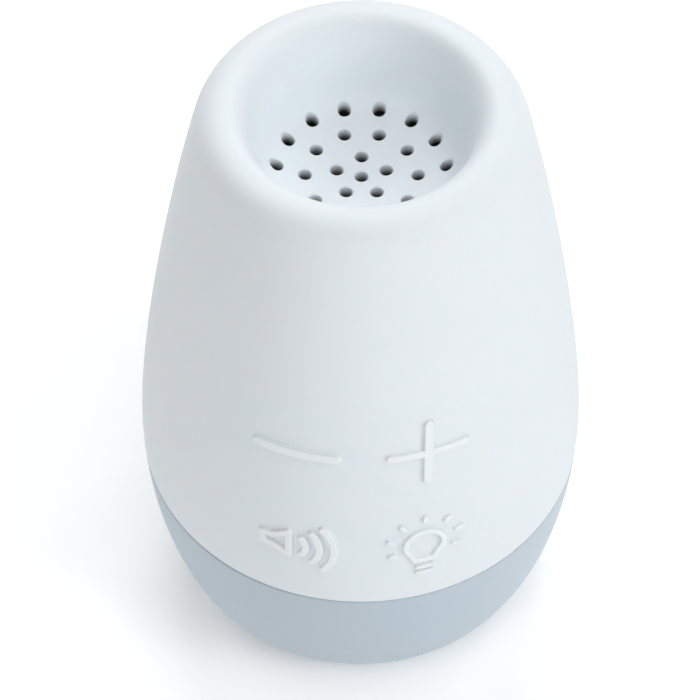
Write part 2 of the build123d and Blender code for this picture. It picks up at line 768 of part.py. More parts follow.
with BuildPart() as board_parts:
    with BuildSketch(back_plane) as can_face:
        with Locations(capacitor_place):
            Circle(capacitor_radius)
    extrude(can_face.sketch, amount=-capacitor_height)
    fillet(board_parts.edges().sort_by(Axis.Y)[-1], edge_break)
    with BuildSketch(back_plane) as small_faces:
        with Locations(*small_places):
            Rectangle(small_size[0], small_size[1])
    extrude(small_faces.sketch, amount=-small_size[2])
finish(board_parts, "board_parts")

with BuildPart() as wire_sockets:
    with BuildSketch(back_plane) as socket_faces:
        with Locations(battery_socket, speaker_socket, light_socket):
            Rectangle(socket_size[0], socket_size[1])
    extrude(socket_faces.sketch, amount=-socket_size[2])
finish(wire_sockets, "wire_sockets")

# ------------------------------------------------------------------ light board
light_board_top = tube_top + light_board_thickness
with BuildPart() as light_board:
    disc(light_board_radius, tube_top, light_board_top)
    disc(light_screw[2] + door_gap, tube_top, light_board_top, Mode.SUBTRACT, light_screw_places)
finish(light_board, "light_board")

with BuildPart() as light_screws:
    with Locations(*[(x, y, light_board_top) for x, y in light_screw_places]):
        add(screw(light_screw))
finish(light_screws, "light_screws")

with BuildPart() as night_lights:
    with BuildSketch(Plane.XY.offset(light_board_top)) as light_faces:
        with PolarLocations(light_ring_radius, light_count, start_angle=light_angle):
            Rectangle(light_size[1], light_size[0])
    extrude(light_faces.sketch, amount=light_size[2])
finish(night_lights, "night_lights")

# ------------------------------------------------------------------ speaker
flange_face = deck_height - gasket_thickness
flange_underside = flange_face - basket_flange
basket_floor = flange_face - basket_depth
rim_bore = speaker_radius - gasket_width  # inner edge of the flange and of the gasket
cone_rim = flange_face - cone_top_drop
coil_outer = coil_bore + coil_wall
plate_bore = coil_outer + coil_gap
plate_bottom = basket_floor - top_plate_thickness
magnet_bottom = plate_bottom - magnet_thickness
coil_bottom = magnet_bottom + cone_travel + coil_gap
coil_top = coil_bottom + coil_length


def turned(*points):
    """Solid of revolution about the body's axis, from radius and level pairs."""
    with BuildPart() as body:
        with BuildSketch(Plane.XZ):
            with BuildLine():
                Polyline(*points, close=True)
            make_face()
        revolve(axis=Axis.Z)
    return body


def washer(inner, outer, low, high):
    """Flat ring between two radii and two levels."""
    return turned((inner, low), (outer, low), (outer, high), (inner, high))


speaker_gasket = washer(rim_bore, speaker_radius, flange_face, deck_height)
finish(speaker_gasket, "speaker_gasket")

with BuildPart() as speaker_basket:
    slant_top = rim_bore + basket_wall
    slant_bottom = basket_neck_radius + basket_wall
    basket = turned(
        (speaker_radius, flange_face),
        (speaker_radius, flange_underside),
        (slant_top, flange_underside),
        (slant_bottom, basket_floor),
        (plate_bore, basket_floor),
        (plate_bore, basket_floor + basket_wall),
        (basket_neck_radius, basket_floor + basket_wall),
        (rim_bore, flange_underside - basket_wall),
        (rim_bore, flange_face),
    )
    add(basket.part)
    window_low = basket_floor + 2 * basket_wall
    window_high = flange_underside - 2 * basket_wall
    with BuildSketch(Plane.XY.offset(window_low)) as windows:
        window_angles = [index * 360 / basket_windows for index in range(basket_windows)]
        add(sector(basket_neck_radius, speaker_radius, window_angles, basket_window_angle))
    extrude(windows.sketch, amount=window_high - window_low, mode=Mode.SUBTRACT)
finish(speaker_basket, "speaker_basket")

speaker_top_plate = washer(plate_bore, top_plate_radius, plate_bottom, basket_floor)
finish(speaker_top_plate, "speaker_top_plate")

speaker_magnet = washer(magnet_bore, magnet_radius, magnet_bottom, plate_bottom)
finish(speaker_magnet, "speaker_magnet")

with BuildPart() as speaker_yoke:
    disc(yoke_radius, magnet_bottom - yoke_thickness, magnet_bottom)
    chamfer(speaker_yoke.edges().group_by(Axis.Z)[0], yoke_thickness / 3)
    disc(pole_radius, magnet_bottom, basket_floor)
finish(speaker_yoke, "speaker_yoke")

voice_coil = washer(coil_bore, coil_outer, coil_bottom, coil_top)
finish(voice_coil, "voice_coil")


def dome_radius(half_width, rise):
    """Radius of an arc of the given half width and rise."""
    return (half_width**2 + rise**2) / (2 * rise)


with BuildPart() as speaker_cone:
    neck_top = coil_top + cone_thickness
    cap_top = neck_top + dust_cap_rise
    cap_under = coil_top + dust_cap_rise
    with BuildSketch(Plane.XZ) as cone_face:
        with BuildLine():
            Line((coil_bore, coil_top), (coil_outer, coil_top))
            Line((coil_outer, coil_top), (cone_radius, cone_rim - cone_thickness))
            Line((cone_radius, cone_rim - cone_thickness), (cone_radius, cone_rim))
            Line((cone_radius, cone_rim), (coil_outer, neck_top))
            RadiusArc((coil_outer, neck_top), (0, cap_top), -dome_radius(coil_outer, dust_cap_rise))
            Line((0, cap_top), (0, cap_under))
            RadiusArc((0, cap_under), (coil_bore, coil_top), dome_radius(coil_bore, dust_cap_rise))
        make_face()
    revolve(axis=Axis.Z)
finish(speaker_cone, "speaker_cone")

roll_radius = (rim_bore - cone_radius - 2 * fit_gap) / 2
roll_middle = (rim_bore + cone_radius) / 2
roll_level = cone_rim - cone_thickness + fit_gap / 2
with BuildPart() as speaker_surround:
    with BuildSketch(Plane.XZ) as roll:
        with Locations((roll_middle, roll_level)):
            Circle(roll_radius)
            Circle(roll_radius - surround_thickness, mode=Mode.SUBTRACT)
        with Locations((roll_middle, roll_level - roll_radius)):
            Rectangle(3 * roll_radius, 2 * roll_radius, mode=Mode.SUBTRACT)
    revolve(axis=Axis.Z)
finish(speaker_surround, "speaker_surround")

spider_level = basket_floor + basket_wall
speaker_spider = turned(
    (coil_outer + fit_gap, spider_level + basket_wall),
    (spider_radius - basket_wall, spider_level + basket_wall),
    (spider_radius - basket_wall, spider_level),
    (spider_radius, spider_level),
    (spider_radius, spider_level + basket_wall + surround_thickness),
    (coil_outer + fit_gap, spider_level + basket_wall + surround_thickness),
)
finish(speaker_spider, "speaker_spider")

terminal_front = rim_bore + basket_wall + fit_gap + terminal_size[1]
terminal_middle = flange_underside - terminal_size[2] / 2
with BuildPart() as speaker_terminals:
    with BuildSketch(Plane.XZ.offset(terminal_front - terminal_size[1])) as strip_face:
        with Locations((0, terminal_middle)):
            Rectangle(terminal_size[0], terminal_size[2])
    extrude(strip_face.sketch, amount=terminal_size[1])
    with BuildSketch(Plane.XZ.offset(terminal_front)) as tab_faces:
        with Locations((-wire_pitch, terminal_middle), (wire_pitch, terminal_middle)):
            Rectangle(lug_size[0], lug_size[2])
    extrude(tab_faces.sketch, amount=lug_size[1])
finish(speaker_terminals, "speaker_terminals")

with BuildPart() as speaker_screws:
    with Locations(*[(x, y, flange_underside) for x, y in speaker_screw_places]):
        add(screw(speaker_screw), rotation=(180, 0, 0))
finish(speaker_screws, "speaker_screws")


# ------------------------------------------------------------------ wires
def wire_run(*points):
    """Tube along straight runs joined by arcs as large as the runs allow."""
    points = [Vector(*point) for point in points]
    radii = []
    for before, corner, after in zip(points, points[1:], points[2:]):
        turn = radians((corner - before).get_angle(after - corner))
        shorter = min((corner - before).length, (after - corner).length)
        radii.append(bend_share * shorter / tan(turn / 2))
    with BuildPart() as run:
        with BuildLine() as path:
            FilletPolyline(*points, radius=radii)
        with BuildSketch(Plane(path.line @ 0, z_dir=path.line % 0)):
            Circle(wire_radius)
        sweep()
    length = sum(edge.length for edge in path.line.edges())
    print("wire bend radii", [round(radius, 1) for radius in radii], "length", round(length, 1))
    return run.part


wire_front = -(board_back - socket_size[2] / 2)  # the wires leave their sockets at mid depth
pair = (-wire_pitch / 2, wire_pitch / 2)

with BuildPart() as speaker_wires:
    socket_top = speaker_socket[1] + socket_size[1] / 2
    lug_face = -terminal_front - lug_size[1] - wire_radius
    for side in (-1, 1):
        add(
            wire_run(
                (side * wire_pitch / 2, wire_front, socket_top),
                (side * wire_pitch / 2, wire_front, socket_top + speaker_lead),
                (side * wire_pitch, lug_face, terminal_middle - speaker_lead),
                (side * wire_pitch, lug_face, terminal_middle),
            )
        )
finish(speaker_wires, "speaker_wires")

with BuildPart() as battery_wires:
    socket_top = battery_socket[1] + socket_size[1] / 2
    tab_top = tube_ceiling + wire_radius
    for side, x in zip((-1, 1), tab_places):
        add(
            wire_run(
                (x, -tube_radius - fit_gap, tab_top),
                (x, wire_front, tab_top),
                (side * wire_pitch / 2, wire_front, socket_top + battery_lead),
                (side * wire_pitch / 2, wire_front, socket_top),
            )
        )
finish(battery_wires, "battery_wires")

with BuildPart() as light_wires:
    socket_top = light_socket[1] + socket_size[1] / 2
    arch = socket_top + light_lead
    for shift in pair:
        add(
            wire_run(
                (light_socket[0] + shift, wire_front, socket_top),
                (light_socket[0] + shift, wire_front, arch),
                (light_landing[0] + shift, light_landing[1], arch),
                (light_landing[0] + shift, light_landing[1], light_board_top),
            )
        )
finish(light_wires, "light_wires")
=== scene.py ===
# %% [markdown]
# # A sound machine with a soft white skin
#
# The object is a tumbler-shaped sound machine that stands on a table. A soft white skin is pulled
# over a rigid frame, a blue-grey base closes it from below, a speaker sits under a bowl in its top,
# and four soft keys lie under raised signs on its front. The imported model brings every piece in the
# right place. This script dresses it: smoother outer surfaces, finishes, lights and a camera.
#
# The model comes first, because every piece made later takes its place from it.

# %% The imported model
from math import cos, pi, radians, sin, sqrt

import bpy
import numpy as np
from mathutils import Matrix, Vector


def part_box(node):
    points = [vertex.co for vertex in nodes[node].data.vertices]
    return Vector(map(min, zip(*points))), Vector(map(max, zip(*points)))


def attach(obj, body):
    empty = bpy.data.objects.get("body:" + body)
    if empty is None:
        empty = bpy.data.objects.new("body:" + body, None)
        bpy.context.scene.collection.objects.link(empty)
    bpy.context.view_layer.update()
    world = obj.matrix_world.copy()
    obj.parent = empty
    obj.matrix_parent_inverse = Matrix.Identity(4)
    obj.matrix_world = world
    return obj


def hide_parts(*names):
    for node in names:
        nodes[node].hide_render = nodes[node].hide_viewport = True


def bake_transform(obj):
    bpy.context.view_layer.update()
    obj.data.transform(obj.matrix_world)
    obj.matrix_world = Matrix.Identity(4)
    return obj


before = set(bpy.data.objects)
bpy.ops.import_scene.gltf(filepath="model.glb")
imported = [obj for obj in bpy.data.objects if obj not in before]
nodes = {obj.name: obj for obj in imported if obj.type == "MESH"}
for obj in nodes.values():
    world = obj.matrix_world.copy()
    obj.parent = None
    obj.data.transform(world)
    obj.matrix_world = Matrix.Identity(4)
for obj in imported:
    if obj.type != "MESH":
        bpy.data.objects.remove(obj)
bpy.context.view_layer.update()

# %% [markdown]
# ## One outline for the whole body
#
# Skin, keys and base share one smooth outline, as if the body had been turned on a lathe and then
# cut at the seam. A modeller could draw it by hand and spin it. Here it is worked out from a few
# sizes instead: cubic curves from ring to ring, each given by two rings and the directions at them,
# and a shallow round floor for the bowl. All shapes are worked out in millimetres, and turned into
# metres when their mesh is written.

# %% Sizes of the outline
mm = 0.001
widest = (35.0, 34.0)  # radius and height of each ring
underside = (26.5, 0.8)
crest = (19.6, 105.0)
shoulder = (24.8, 0.942 * crest[1])
underside_rise = radians(35.0)  # how steeply the side leaves the underside
shoulder_lean = radians(13.9)  # from upright
dish_height = 0.863 * crest[1]  # middle of the bowl's floor
dish_curve = 85.0  # radius of its curve
dish_radius = 11.4  # where it turns up into the wall
seam_height = 31.0
seam_gap = 0.2
seam_round = 0.35
base_pulls = (0.19, 0.395)  # how far a curve follows the directions at its start and at its end
side_pulls = (0.233, 0.268)
shoulder_pulls = (0.42, 0.467)
bowl_pulls = (0.33, 0.40)


# %% Curves from ring to ring
def bow(start, start_way, end, end_way, pulls, count=600):
    """Cubic curve between two points, as an array of points: with t from 0 to 1, the four control
    points are weighted (1-t)^3, 3t(1-t)^2, 3t^2(1-t) and t^3. The inner two lie on the tangents."""
    t = np.linspace(0, 1, count)[:, None]
    start, end = np.array(start), np.array(end)
    chord = np.linalg.norm(end - start)
    first = start + chord * pulls[0] * np.array(start_way)
    second = end - chord * pulls[1] * np.array(end_way)
    weights = ((1 - t) ** 3, 3 * t * (1 - t) ** 2, 3 * t**2 * (1 - t), t**3)
    return sum(weight * point for weight, point in zip(weights, (start, first, second, end)))


slope = np.arcsin(dish_radius / dish_curve)
dish_edge = (dish_radius, dish_height + dish_curve * (1 - cos(slope)))
lean = (-sin(shoulder_lean), cos(shoulder_lean))
sweep = np.linspace(slope, 0, 400)[:, None]
rise = dish_curve * (1 - np.cos(sweep))
floor_curve = np.hstack([dish_curve * np.sin(sweep), dish_height + rise])
outline = np.vstack([
    bow(underside, (cos(underside_rise), sin(underside_rise)), widest, (0, 1), base_pulls),
    bow(widest, (0, 1), shoulder, lean, side_pulls)[1:],
    bow(shoulder, lean, crest, (-1, 0), shoulder_pulls)[1:],
    bow(crest, (-1, 0), dish_edge, (-cos(slope), -sin(slope)), bowl_pulls)[1:],
    floor_curve[1:],
])
run = np.concatenate([[0], np.cumsum(np.linalg.norm(np.diff(outline, axis=0), axis=1))])
top = int(np.argmax(outline[:, 1]))
print("outline", len(outline), "points,", round(run[-1], 1), "mm along it")


# %% Reading the outline
tangent = np.gradient(outline, run, axis=0)
across = np.stack([tangent[:, 1], -tangent[:, 0]], axis=1)
across /= np.linalg.norm(across, axis=1)[:, None]


def at_run(s):
    """Radius, height and the two parts of the outward normal at distances s along the outline."""
    return [np.interp(s, run, column) for column in (*outline.T, *across.T)]


def at_height(z):
    """Distance along the outline at which its outer side reaches a height."""
    return np.interp(z, outline[: top + 1, 1], run[: top + 1])


def at_radius(r):
    """Distance along the outline at which the bowl has a radius."""
    return np.interp(-np.asarray(r, float), -outline[top:, 0], run[top:])


print("seam at", round(float(at_run(at_height(seam_height))[0]), 2), "mm from the axis")

# %% [markdown]
# ## Sheets of points
#
# Every new surface is a grid of numbered points, worked out as whole arrays. A sheet collects
# points, the direction that the surface faces at each, and the quads between them. Keeping the
# true direction at each point, and not the average of the faces round it, is what lets two
# separate pieces of one smooth skin meet without a visible line.

# %% A sheet that collects grids
class Sheet:
    """Points, normals and quads of one mesh, collected grid by grid."""

    def __init__(self):
        self.points, self.normals, self.quads, self.levels, self.count = [], [], [], [], 0

    def add(self, points, normals, level=0.0):
        """Adds a grid of points and gives their numbers, in the grid's shape. The level, how far a
        point stands above the plain surface or lies below it, is kept for the finish."""
        shape = points.shape[:-1]
        numbers = self.count + np.arange(int(np.prod(shape))).reshape(shape)
        self.points.append(points.reshape(-1, 3))
        self.normals.append(np.broadcast_to(normals, points.shape).reshape(-1, 3))
        self.levels.append(np.broadcast_to(level, shape).ravel())
        self.count += numbers.size
        return numbers

    def at(self, numbers):
        """The points with these numbers."""
        return np.vstack(self.points)[numbers]

    def facing_at(self, numbers):
        """The normals at these numbers."""
        return np.vstack(self.normals)[numbers]

    def weave(self, numbers, keep=None):
        """Quads between neighbours of a grid of point numbers, facing the side from which the
        columns run to the right and the rows run up."""
        corners = (numbers[:-1, :-1], numbers[:-1, 1:], numbers[1:, 1:], numbers[1:, :-1])
        cells = np.stack(corners, axis=-1)
        self.quads.append(cells[keep] if keep is not None else cells.reshape(-1, 4))

    def piece(self, name, material):
        """The mesh as an object at the origin, in metres."""
        used, quads = np.unique(np.vstack(self.quads), return_inverse=True)
        quads = quads.reshape(-1, 4)
        points, normals = np.vstack(self.points)[used], np.vstack(self.normals)[used]
        mesh = bpy.data.meshes.new(name)
        mesh.vertices.add(len(used))
        mesh.vertices.foreach_set("co", (points * mm).astype(np.float32).ravel())
        mesh.loops.add(quads.size)
        mesh.loops.foreach_set("vertex_index", quads.ravel().astype(np.int32))
        mesh.polygons.add(len(quads))
        mesh.polygons.foreach_set("loop_start", np.arange(0, quads.size, 4, dtype=np.int32))
        mesh.polygons.foreach_set("use_smooth", np.ones(len(quads), bool))
        mesh.update(calc_edges=True)
        mesh.validate()
        normals = normals / np.linalg.norm(normals, axis=1)[:, None]
        mesh.normals_split_custom_set_from_vertices(normals.tolist())
        level = np.concatenate(self.levels)[used].astype(np.float32)
        mesh.attributes.new("level", "FLOAT", "POINT").data.foreach_set("value", level)
        mesh.materials.append(material)
        made = bpy.data.objects.new(name, mesh)
        bpy.context.scene.collection.objects.link(made)
        print(name, len(used), "points,", len(quads), "quads")
        return made


def closed(numbers):
    """The same grid with its first column repeated at the end, to close a ring."""
    return np.hstack([numbers, numbers[:, :1]])


def facing(points):
    """Normals of a fine grid of points: the cross product of its two directions, on the side to
    which weave turns its quads."""
    normals = np.cross(np.gradient(points, axis=1), np.gradient(points, axis=0))
    return normals / np.linalg.norm(normals, axis=-1)[..., None]


# %% [markdown]
# ## Windows in a smooth surface
#
# The skin has round openings: a window for each key, and thirty-one sound holes in the bowl. A
# Boolean cut would leave long thin faces that shade badly. Here the grid is planned round the
# openings. A block of its cells is left out, and rings of points lead from the block's border to
# the circle, so the surface stays made of even quads. Each ring is laid back onto the surface, seen
# along the direction in which the opening is drilled.

# %% Where a place seen from the front, or from above, lies on the body
def on_side(plane):
    """Points and normals on the front of the body at places (x, z): y = -sqrt(R(z)^2 - x^2)."""
    x, z = plane[..., 0], plane[..., 1]
    radius, _, out, up = at_run(at_height(z))
    y = -np.sqrt(radius**2 - x**2)
    return np.stack([x, y, z], -1), np.stack([out * x / radius, out * y / radius, up], -1)


def in_bowl(plane):
    """Points and normals in the bowl at places (x, y): the outline's height at that radius."""
    x, y = plane[..., 0], plane[..., 1]
    r = np.maximum(np.hypot(x, y), 1e-9)
    _, z, out, up = at_run(at_radius(r))
    return np.stack([x, y, z], -1), np.stack([out * x / r, out * y / r, up], -1)


def on_floor(level):
    """The same for a level face that looks down."""
    def place(plane):
        height = np.full(plane.shape[:-1], level)
        return np.concatenate([plane, height[..., None]], -1), np.array([0.0, 0.0, -1.0])
    return place


# %% Opening a window and sinking a hole
def border(numbers, rows, columns):
    """Point numbers round a block of the grid, to the right along its first row first."""
    (low, high), (left, right) = rows, columns
    along, up = np.arange(left, right), np.arange(low, high)
    row = [np.full_like(along, low), up, np.full_like(along, high), up[::-1] + 1]
    column = [along, np.full_like(up, right), along[::-1] + 1, np.full_like(up, left)]
    return numbers[np.concatenate(row), np.concatenate(column) % numbers.shape[1]]


def window(sheet, edge, centre, radius, place, axes, rings):
    """Rings of points from an edge to a circle. A ring's points lie at a share t of the way from
    the edge point E to the circle point C + R (E - C) / |E - C|. Gives the circle's numbers."""
    start = sheet.at(edge)[:, axes]
    away = start - np.array(centre)
    circle = np.array(centre) + radius * away / np.linalg.norm(away, axis=1)[:, None]
    share = np.linspace(0, 1, rings + 1)[1:, None, None]
    inner = sheet.add(*place((1 - share) * start + share * circle))
    sheet.weave(closed(np.vstack([edge, inner])))
    return inner[-1]


def sink(sheet, ring, centre, inward, steps):
    """Continues a circle into the material, along an axis through a centre. Each step is a radius,
    a depth and a turn of the normal, from the surface's own at 0 degrees to one that looks straight
    at the axis at 90."""
    points, normals = sheet.at(ring), sheet.facing_at(ring)
    away, inward = points - np.array(centre), np.array(inward)
    away = away - (away @ inward)[:, None] * inward
    reach = np.linalg.norm(away, axis=1)[:, None]
    away /= reach
    last = ring
    for radius, depth, turn in steps:
        turn = radians(turn)
        moved = points + (radius - reach) * away + depth * inward
        now = sheet.add(moved, cos(turn) * normals - sin(turn) * away, -depth)
        sheet.weave(closed(np.vstack([last, now])))
        last = now
    return last


def round_edge(radius, edge):
    """Steps that round the mouth of a hole by a quarter of a circle and end at its radius."""
    return [(radius + edge * (1 - sin(radians(turn))), edge * (1 - cos(radians(turn))), turn)
            for turn in (30, 60, 90)]


# %% Turning a profile round the axis
def turned(sheet, profile, columns=240, start=-pi / 2):
    """Surface of revolution. Its profile is an array of radius, height and the normal's two parts:
    a point at angle a is (r cos a, r sin a, z), and its normal turns with it."""
    angle = start + np.arange(columns) * 2 * pi / columns
    radius, height, out, up = (column[:, None] for column in np.asarray(profile, float).T)
    level = np.ones_like(angle)
    points = np.stack([radius * np.cos(angle), radius * np.sin(angle), height * level], -1)
    normals = np.stack([out * np.cos(angle), out * np.sin(angle), up * level], -1)
    return sheet.add(points, normals)


def seam_edge(radius, height, ways):
    """Profile of the rounded edges at the seam: radius + R (cos a - 1), height + R sin a, for the
    directions a of its normals, in degrees above level."""
    way = np.radians(ways)
    out, up = np.cos(way), np.sin(way)
    return np.stack([radius + seam_round * (out - 1), height + seam_round * up, out, up], -1)


print("edges at the seam are rounded by", seam_round, "mm")

# %% [markdown]
# ## The soft skin
#
# The skin runs from its rolled lower edge at the seam, up the side, over the lip, down the bowl's
# wall and across its floor. Its rows of points are set where something happens on it: a window's
# block of cells, the lip's tight curve, a ring of sound holes. There are 240 columns, because the
# rings of 5, 10 and 15 holes all divide that number, so each hole sits in the middle of its block.

# %% Rows and columns of the skin
columns = 240
skin_wall = 2.2
key_wall = 1.6
key_column = 9.4
key_heights = {"minus": 64.0, "plus": 64.0, "sound": 44.8, "light": 44.8}
key_sides = {"minus": -1, "plus": 1, "sound": -1, "light": 1}
key_radius = 8.3
key_block = 26  # columns from the middle of the front to the far edge of a key's block
key_borders = (35.2, 54.4, 73.7)  # heights of the borders of the keys' blocks
key_window_rings, hole_window_rings = 5, 4
hole_radius = 0.95
hole_edge = 0.28
hole_depth = 2.1  # the holes' straight walls end here, over the dark inside
hole_rings = ((12.46, 15, 12.0), (8.23, 10, 18.0), (3.8, 5, 0.0))  # radius, count, first angle
ring_borders = (14.65, 10.3, 6.0, 2.0)
lip_start = seam_height + seam_gap / 2

stops = [
    at_height(lip_start + seam_round), *(at_height(z) for z in key_borders),
    at_height(shoulder[1]), run[top], *(at_radius(r) for r in ring_borders),
]
counts = (5, 22, 22, 24, 22, 30, 8, 8, 8)  # rows from each stop to the next
spans = [np.linspace(a, b, n + 1)[1:] for a, b, n in zip(stops, stops[1:], counts)]
rows = np.concatenate([[stops[0]], *spans])
side_profile = np.stack(at_run(rows), -1)
edge_radius = side_profile[0, 0]
edge_profile = seam_edge(edge_radius, lip_start + seam_round, (-90, -60, -30))
stop_rows = len(edge_profile) + np.cumsum((0,) + counts)  # number of the row at each stop
print("rows", len(rows), "with stops at", stop_rows.tolist())

# %% The skin's surface
skin = Sheet()
inner_radius = edge_radius - skin_wall
inside_depth = 5.0  # how far up the inside of the lower edge is drawn
inside = [(inner_radius, lip_start + inside_depth, -1, 0), (inner_radius, lip_start, -1, 0)]
under = [(inner_radius, lip_start, 0, -1), (edge_radius - seam_round, lip_start, 0, -1)]
for band in (inside, under):
    skin.weave(closed(turned(skin, band)))
outside = turned(skin, np.vstack([edge_profile, side_profile]))

keep = np.ones((len(outside) - 1, columns), bool)
blocks = {}
for name, side in key_sides.items():
    lower = 1 + (name in ("minus", "plus"))  # stop at the block's lower border
    span = (stop_rows[lower], stop_rows[lower + 1])
    reach = (0, key_block) if side > 0 else (-key_block, 0)
    blocks[name] = (span, reach)
    keep[span[0] : span[1], np.arange(*reach) % columns] = False
hole_spans = list(zip(stop_rows[-4:], stop_rows[-3:]))
keep[hole_spans[0][0] :] = False
skin.weave(closed(outside), keep)

for name, (span, reach) in blocks.items():
    x, z = key_sides[name] * key_column, key_heights[name]
    edge = border(outside, span, reach)
    circle = window(skin, edge, (x, z), key_radius, on_side, [0, 2], key_window_rings)
    sink(skin, circle, (x, 0, z), (0, 1, 0), [(key_radius, key_wall, 90)])


def sound_hole(edge, centre):
    """A sound hole with a softly rounded mouth, inside an edge of points."""
    mouth = hole_radius + hole_edge
    circle = window(skin, edge, centre, mouth, in_bowl, [0, 1], hole_window_rings)
    steps = round_edge(hole_radius, hole_edge) + [(hole_radius, hole_depth, 90)]
    sink(skin, circle, (*centre, 0), (0, 0, -1), steps)


for (radius, count, first), span in zip(hole_rings, hole_spans):
    width = columns // count
    for k in range(count):
        way = radians(90 + first + k * 360 / count)
        left = round((way + pi / 2) / (2 * pi) * columns - width / 2)
        edge = border(outside, span, (left, left + width))
        sound_hole(edge, (radius * cos(way), radius * sin(way)))
sound_hole(outside[-1], (0.0, 0.0))
print("sound holes", 1 + sum(count for _, count, _ in hole_rings))

# %% [markdown]
# ## Raised signs
#
# Each key carries a sign moulded into the skin: a bar, a cross, a loudspeaker with three waves, and
# a bulb with rays. They stand about half a millimetre proud, with soft edges, and there is no line
# round a key. Carving them with booleans would give hard edges. Instead each sign is a set of
# strokes, and the height at a place depends only on its distance from the nearest stroke: full
# height within the stroke, falling smoothly to nothing over its soft edge.

# %% Drawing with strokes
sign_height = 0.55
sign_softness = 0.12  # half the width over which a stroke's edge falls


def arc(centre, radius, first, last, count=24):
    """Points along part of a circle, between two angles in degrees."""
    angle = np.radians(np.linspace(first, last, count))
    return np.stack([centre[0] + radius * np.cos(angle), centre[1] + radius * np.sin(angle)], -1)


def bar(middle, length, angle=0.0):
    """The two ends of a straight stroke."""
    half = length / 2 * np.array([cos(radians(angle)), sin(radians(angle))])
    return np.array([middle - half, middle + half])


def stroke_distance(plane, line):
    """Distance from places to a chain of straight runs: each place is dropped at right angles on
    each run, the foot is kept within the run, and the nearest counts."""
    nearest = np.full(plane.shape[:-1], 1e9)
    for start, end in zip(line, line[1:]):
        way = end - start
        share = np.clip(((plane - start) @ way) / (way @ way), 0, 1)[..., None]
        nearest = np.minimum(nearest, np.linalg.norm(plane - start - share * way, axis=-1))
    return nearest


def smooth(t):
    """0 below 0, 1 above 1, and 3t^2 - 2t^3 between."""
    t = np.clip(t, 0, 1)
    return t * t * (3 - 2 * t)


def raised(plane, strokes):
    """Height of a sign: full inside its strokes, falling smoothly across their soft edge."""
    inside = np.max([half - stroke_distance(plane, line) for line, half in strokes], axis=0)
    return sign_height * smooth(inside / (2 * sign_softness) + 0.5)


# %% Strokes of the signs, in millimetres from the middle of the key, with half their width
horn = np.array([
    (-5.2, 0.5), (-3.8, 0.55), (-1.35, 2.0), (-1.35, -2.95), (-3.8, -1.55), (-5.2, -1.5),
    (-5.2, 0.5),
])
waves = [arc((-1.82, -0.5), radius, -half, half)
         for radius, half in ((3.07, 36), (5.14, 38), (7.3, 38))]
bulb = np.array([0.3, -0.1])  # middle of the bulb's glass
bulb_radius, bulb_opening = 2.85, 42  # the glass ends this many degrees below level
neck = bulb + [(1.35, -3.5), (-1.35, -3.5)]
bowl_of_glass = arc(bulb, bulb_radius, 180 + bulb_opening, -bulb_opening, 48)
glass = np.vstack([bowl_of_glass, neck, bowl_of_glass[:1]])
rays = []
for way in np.linspace(-20, 200, 7):
    middle = arc(bulb, 5.2 + 0.35 * sin(radians(way)), way, way, 1)[0]
    rays.append(bar(middle, 0.6, way))
caps = [bar(bulb + (0, level), 2.0) for level in (-5.2, -6.5)]
signs = {
    "minus": [(bar((0.12, 0.1), 11.3), 0.74)],
    "plus": [(bar((0.4, 0.2), 10.8), 0.66), (bar((0.48, 0.3), 10.9, 90), 0.7)],
    "sound": [(horn, 0.58)] + [(wave, 0.6) for wave in waves],
    "light": [(glass, 0.46)] + [(ray, 0.44) for ray in rays] + [(cap, 0.38) for cap in caps],
}
print("strokes", {name: len(strokes) for name, strokes in signs.items()})

# %% [markdown]
# ## Keys that dimple
#
# A key is a disc of the same skin over its switch. If it moved as a stiff plate, a step would open
# round it. The real skin stretches instead, so the disc's rim stays with the body, its middle goes
# down with the switch, and the ring between bends.

# %% The keys
key_grid = 151
key_flat = 0.8  # share of a key's radius that goes down without bending
post_radius = 2.4


def round_grid(count):
    """A square grid bent into a disc of radius 1, with x = u sqrt(1 - v^2 / 2) and the same for y
    with u and v swapped."""
    u, v = np.meshgrid(np.linspace(-1, 1, count), np.linspace(-1, 1, count))
    return np.stack([u * np.sqrt(1 - v**2 / 2), v * np.sqrt(1 - u**2 / 2)], -1)


def lid(sheet, loop):
    """Closes a ring of points with strips between its two halves."""
    half = len(loop) // 2
    sheet.weave(np.stack([loop[:half], loop[: half - 1 : -1]]))


def make_key(name):
    """The disc of skin over one switch, with its sign, its wall and the post behind it."""
    centre = np.array((key_sides[name] * key_column, key_heights[name]))
    cap, plane = Sheet(), round_grid(key_grid)
    points, normals = on_side(centre + key_radius * plane)
    height = raised(key_radius * plane, signs[name])
    points = points + height[..., None] * normals
    front = cap.add(points, facing(points), height)
    cap.weave(front)
    edge = border(front, (0, key_grid - 1), (0, key_grid - 1))[::-1]
    wall = [(key_radius, 0, -90), (key_radius, key_wall, -90), (post_radius, key_wall, 180)]
    ring = sink(cap, edge, (centre[0], 0, centre[1]), (0, 1, 0), wall)
    end = cap.at(ring)
    end[:, 1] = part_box(f"key_{name}")[1][1] / mm  # where the post meets the switch's plunger
    post_end = cap.add(end, np.array([0.0, 1.0, 0.0]))
    cap.weave(closed(np.stack([ring, post_end])))
    lid(cap, post_end)
    return cap, centre


# %% Working out how two bodies would share a piece
def bend(piece, body, share):
    """Bakes a piece's place into its mesh and works out, from its places, the share of another
    body's motion at each point: 0 stays with the housing, 1 goes with the body. Only the mean is
    printed; the shares are not stored, so the piece does not bend."""
    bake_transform(piece)
    places = np.zeros(len(piece.data.vertices) * 3, np.float32)
    piece.data.vertices.foreach_get("co", places)
    shares = share(places.reshape(-1, 3) / mm).astype(np.float32)
    print(piece.name, "goes with", body, "at", round(float(shares.mean() * 100)), "% on average")


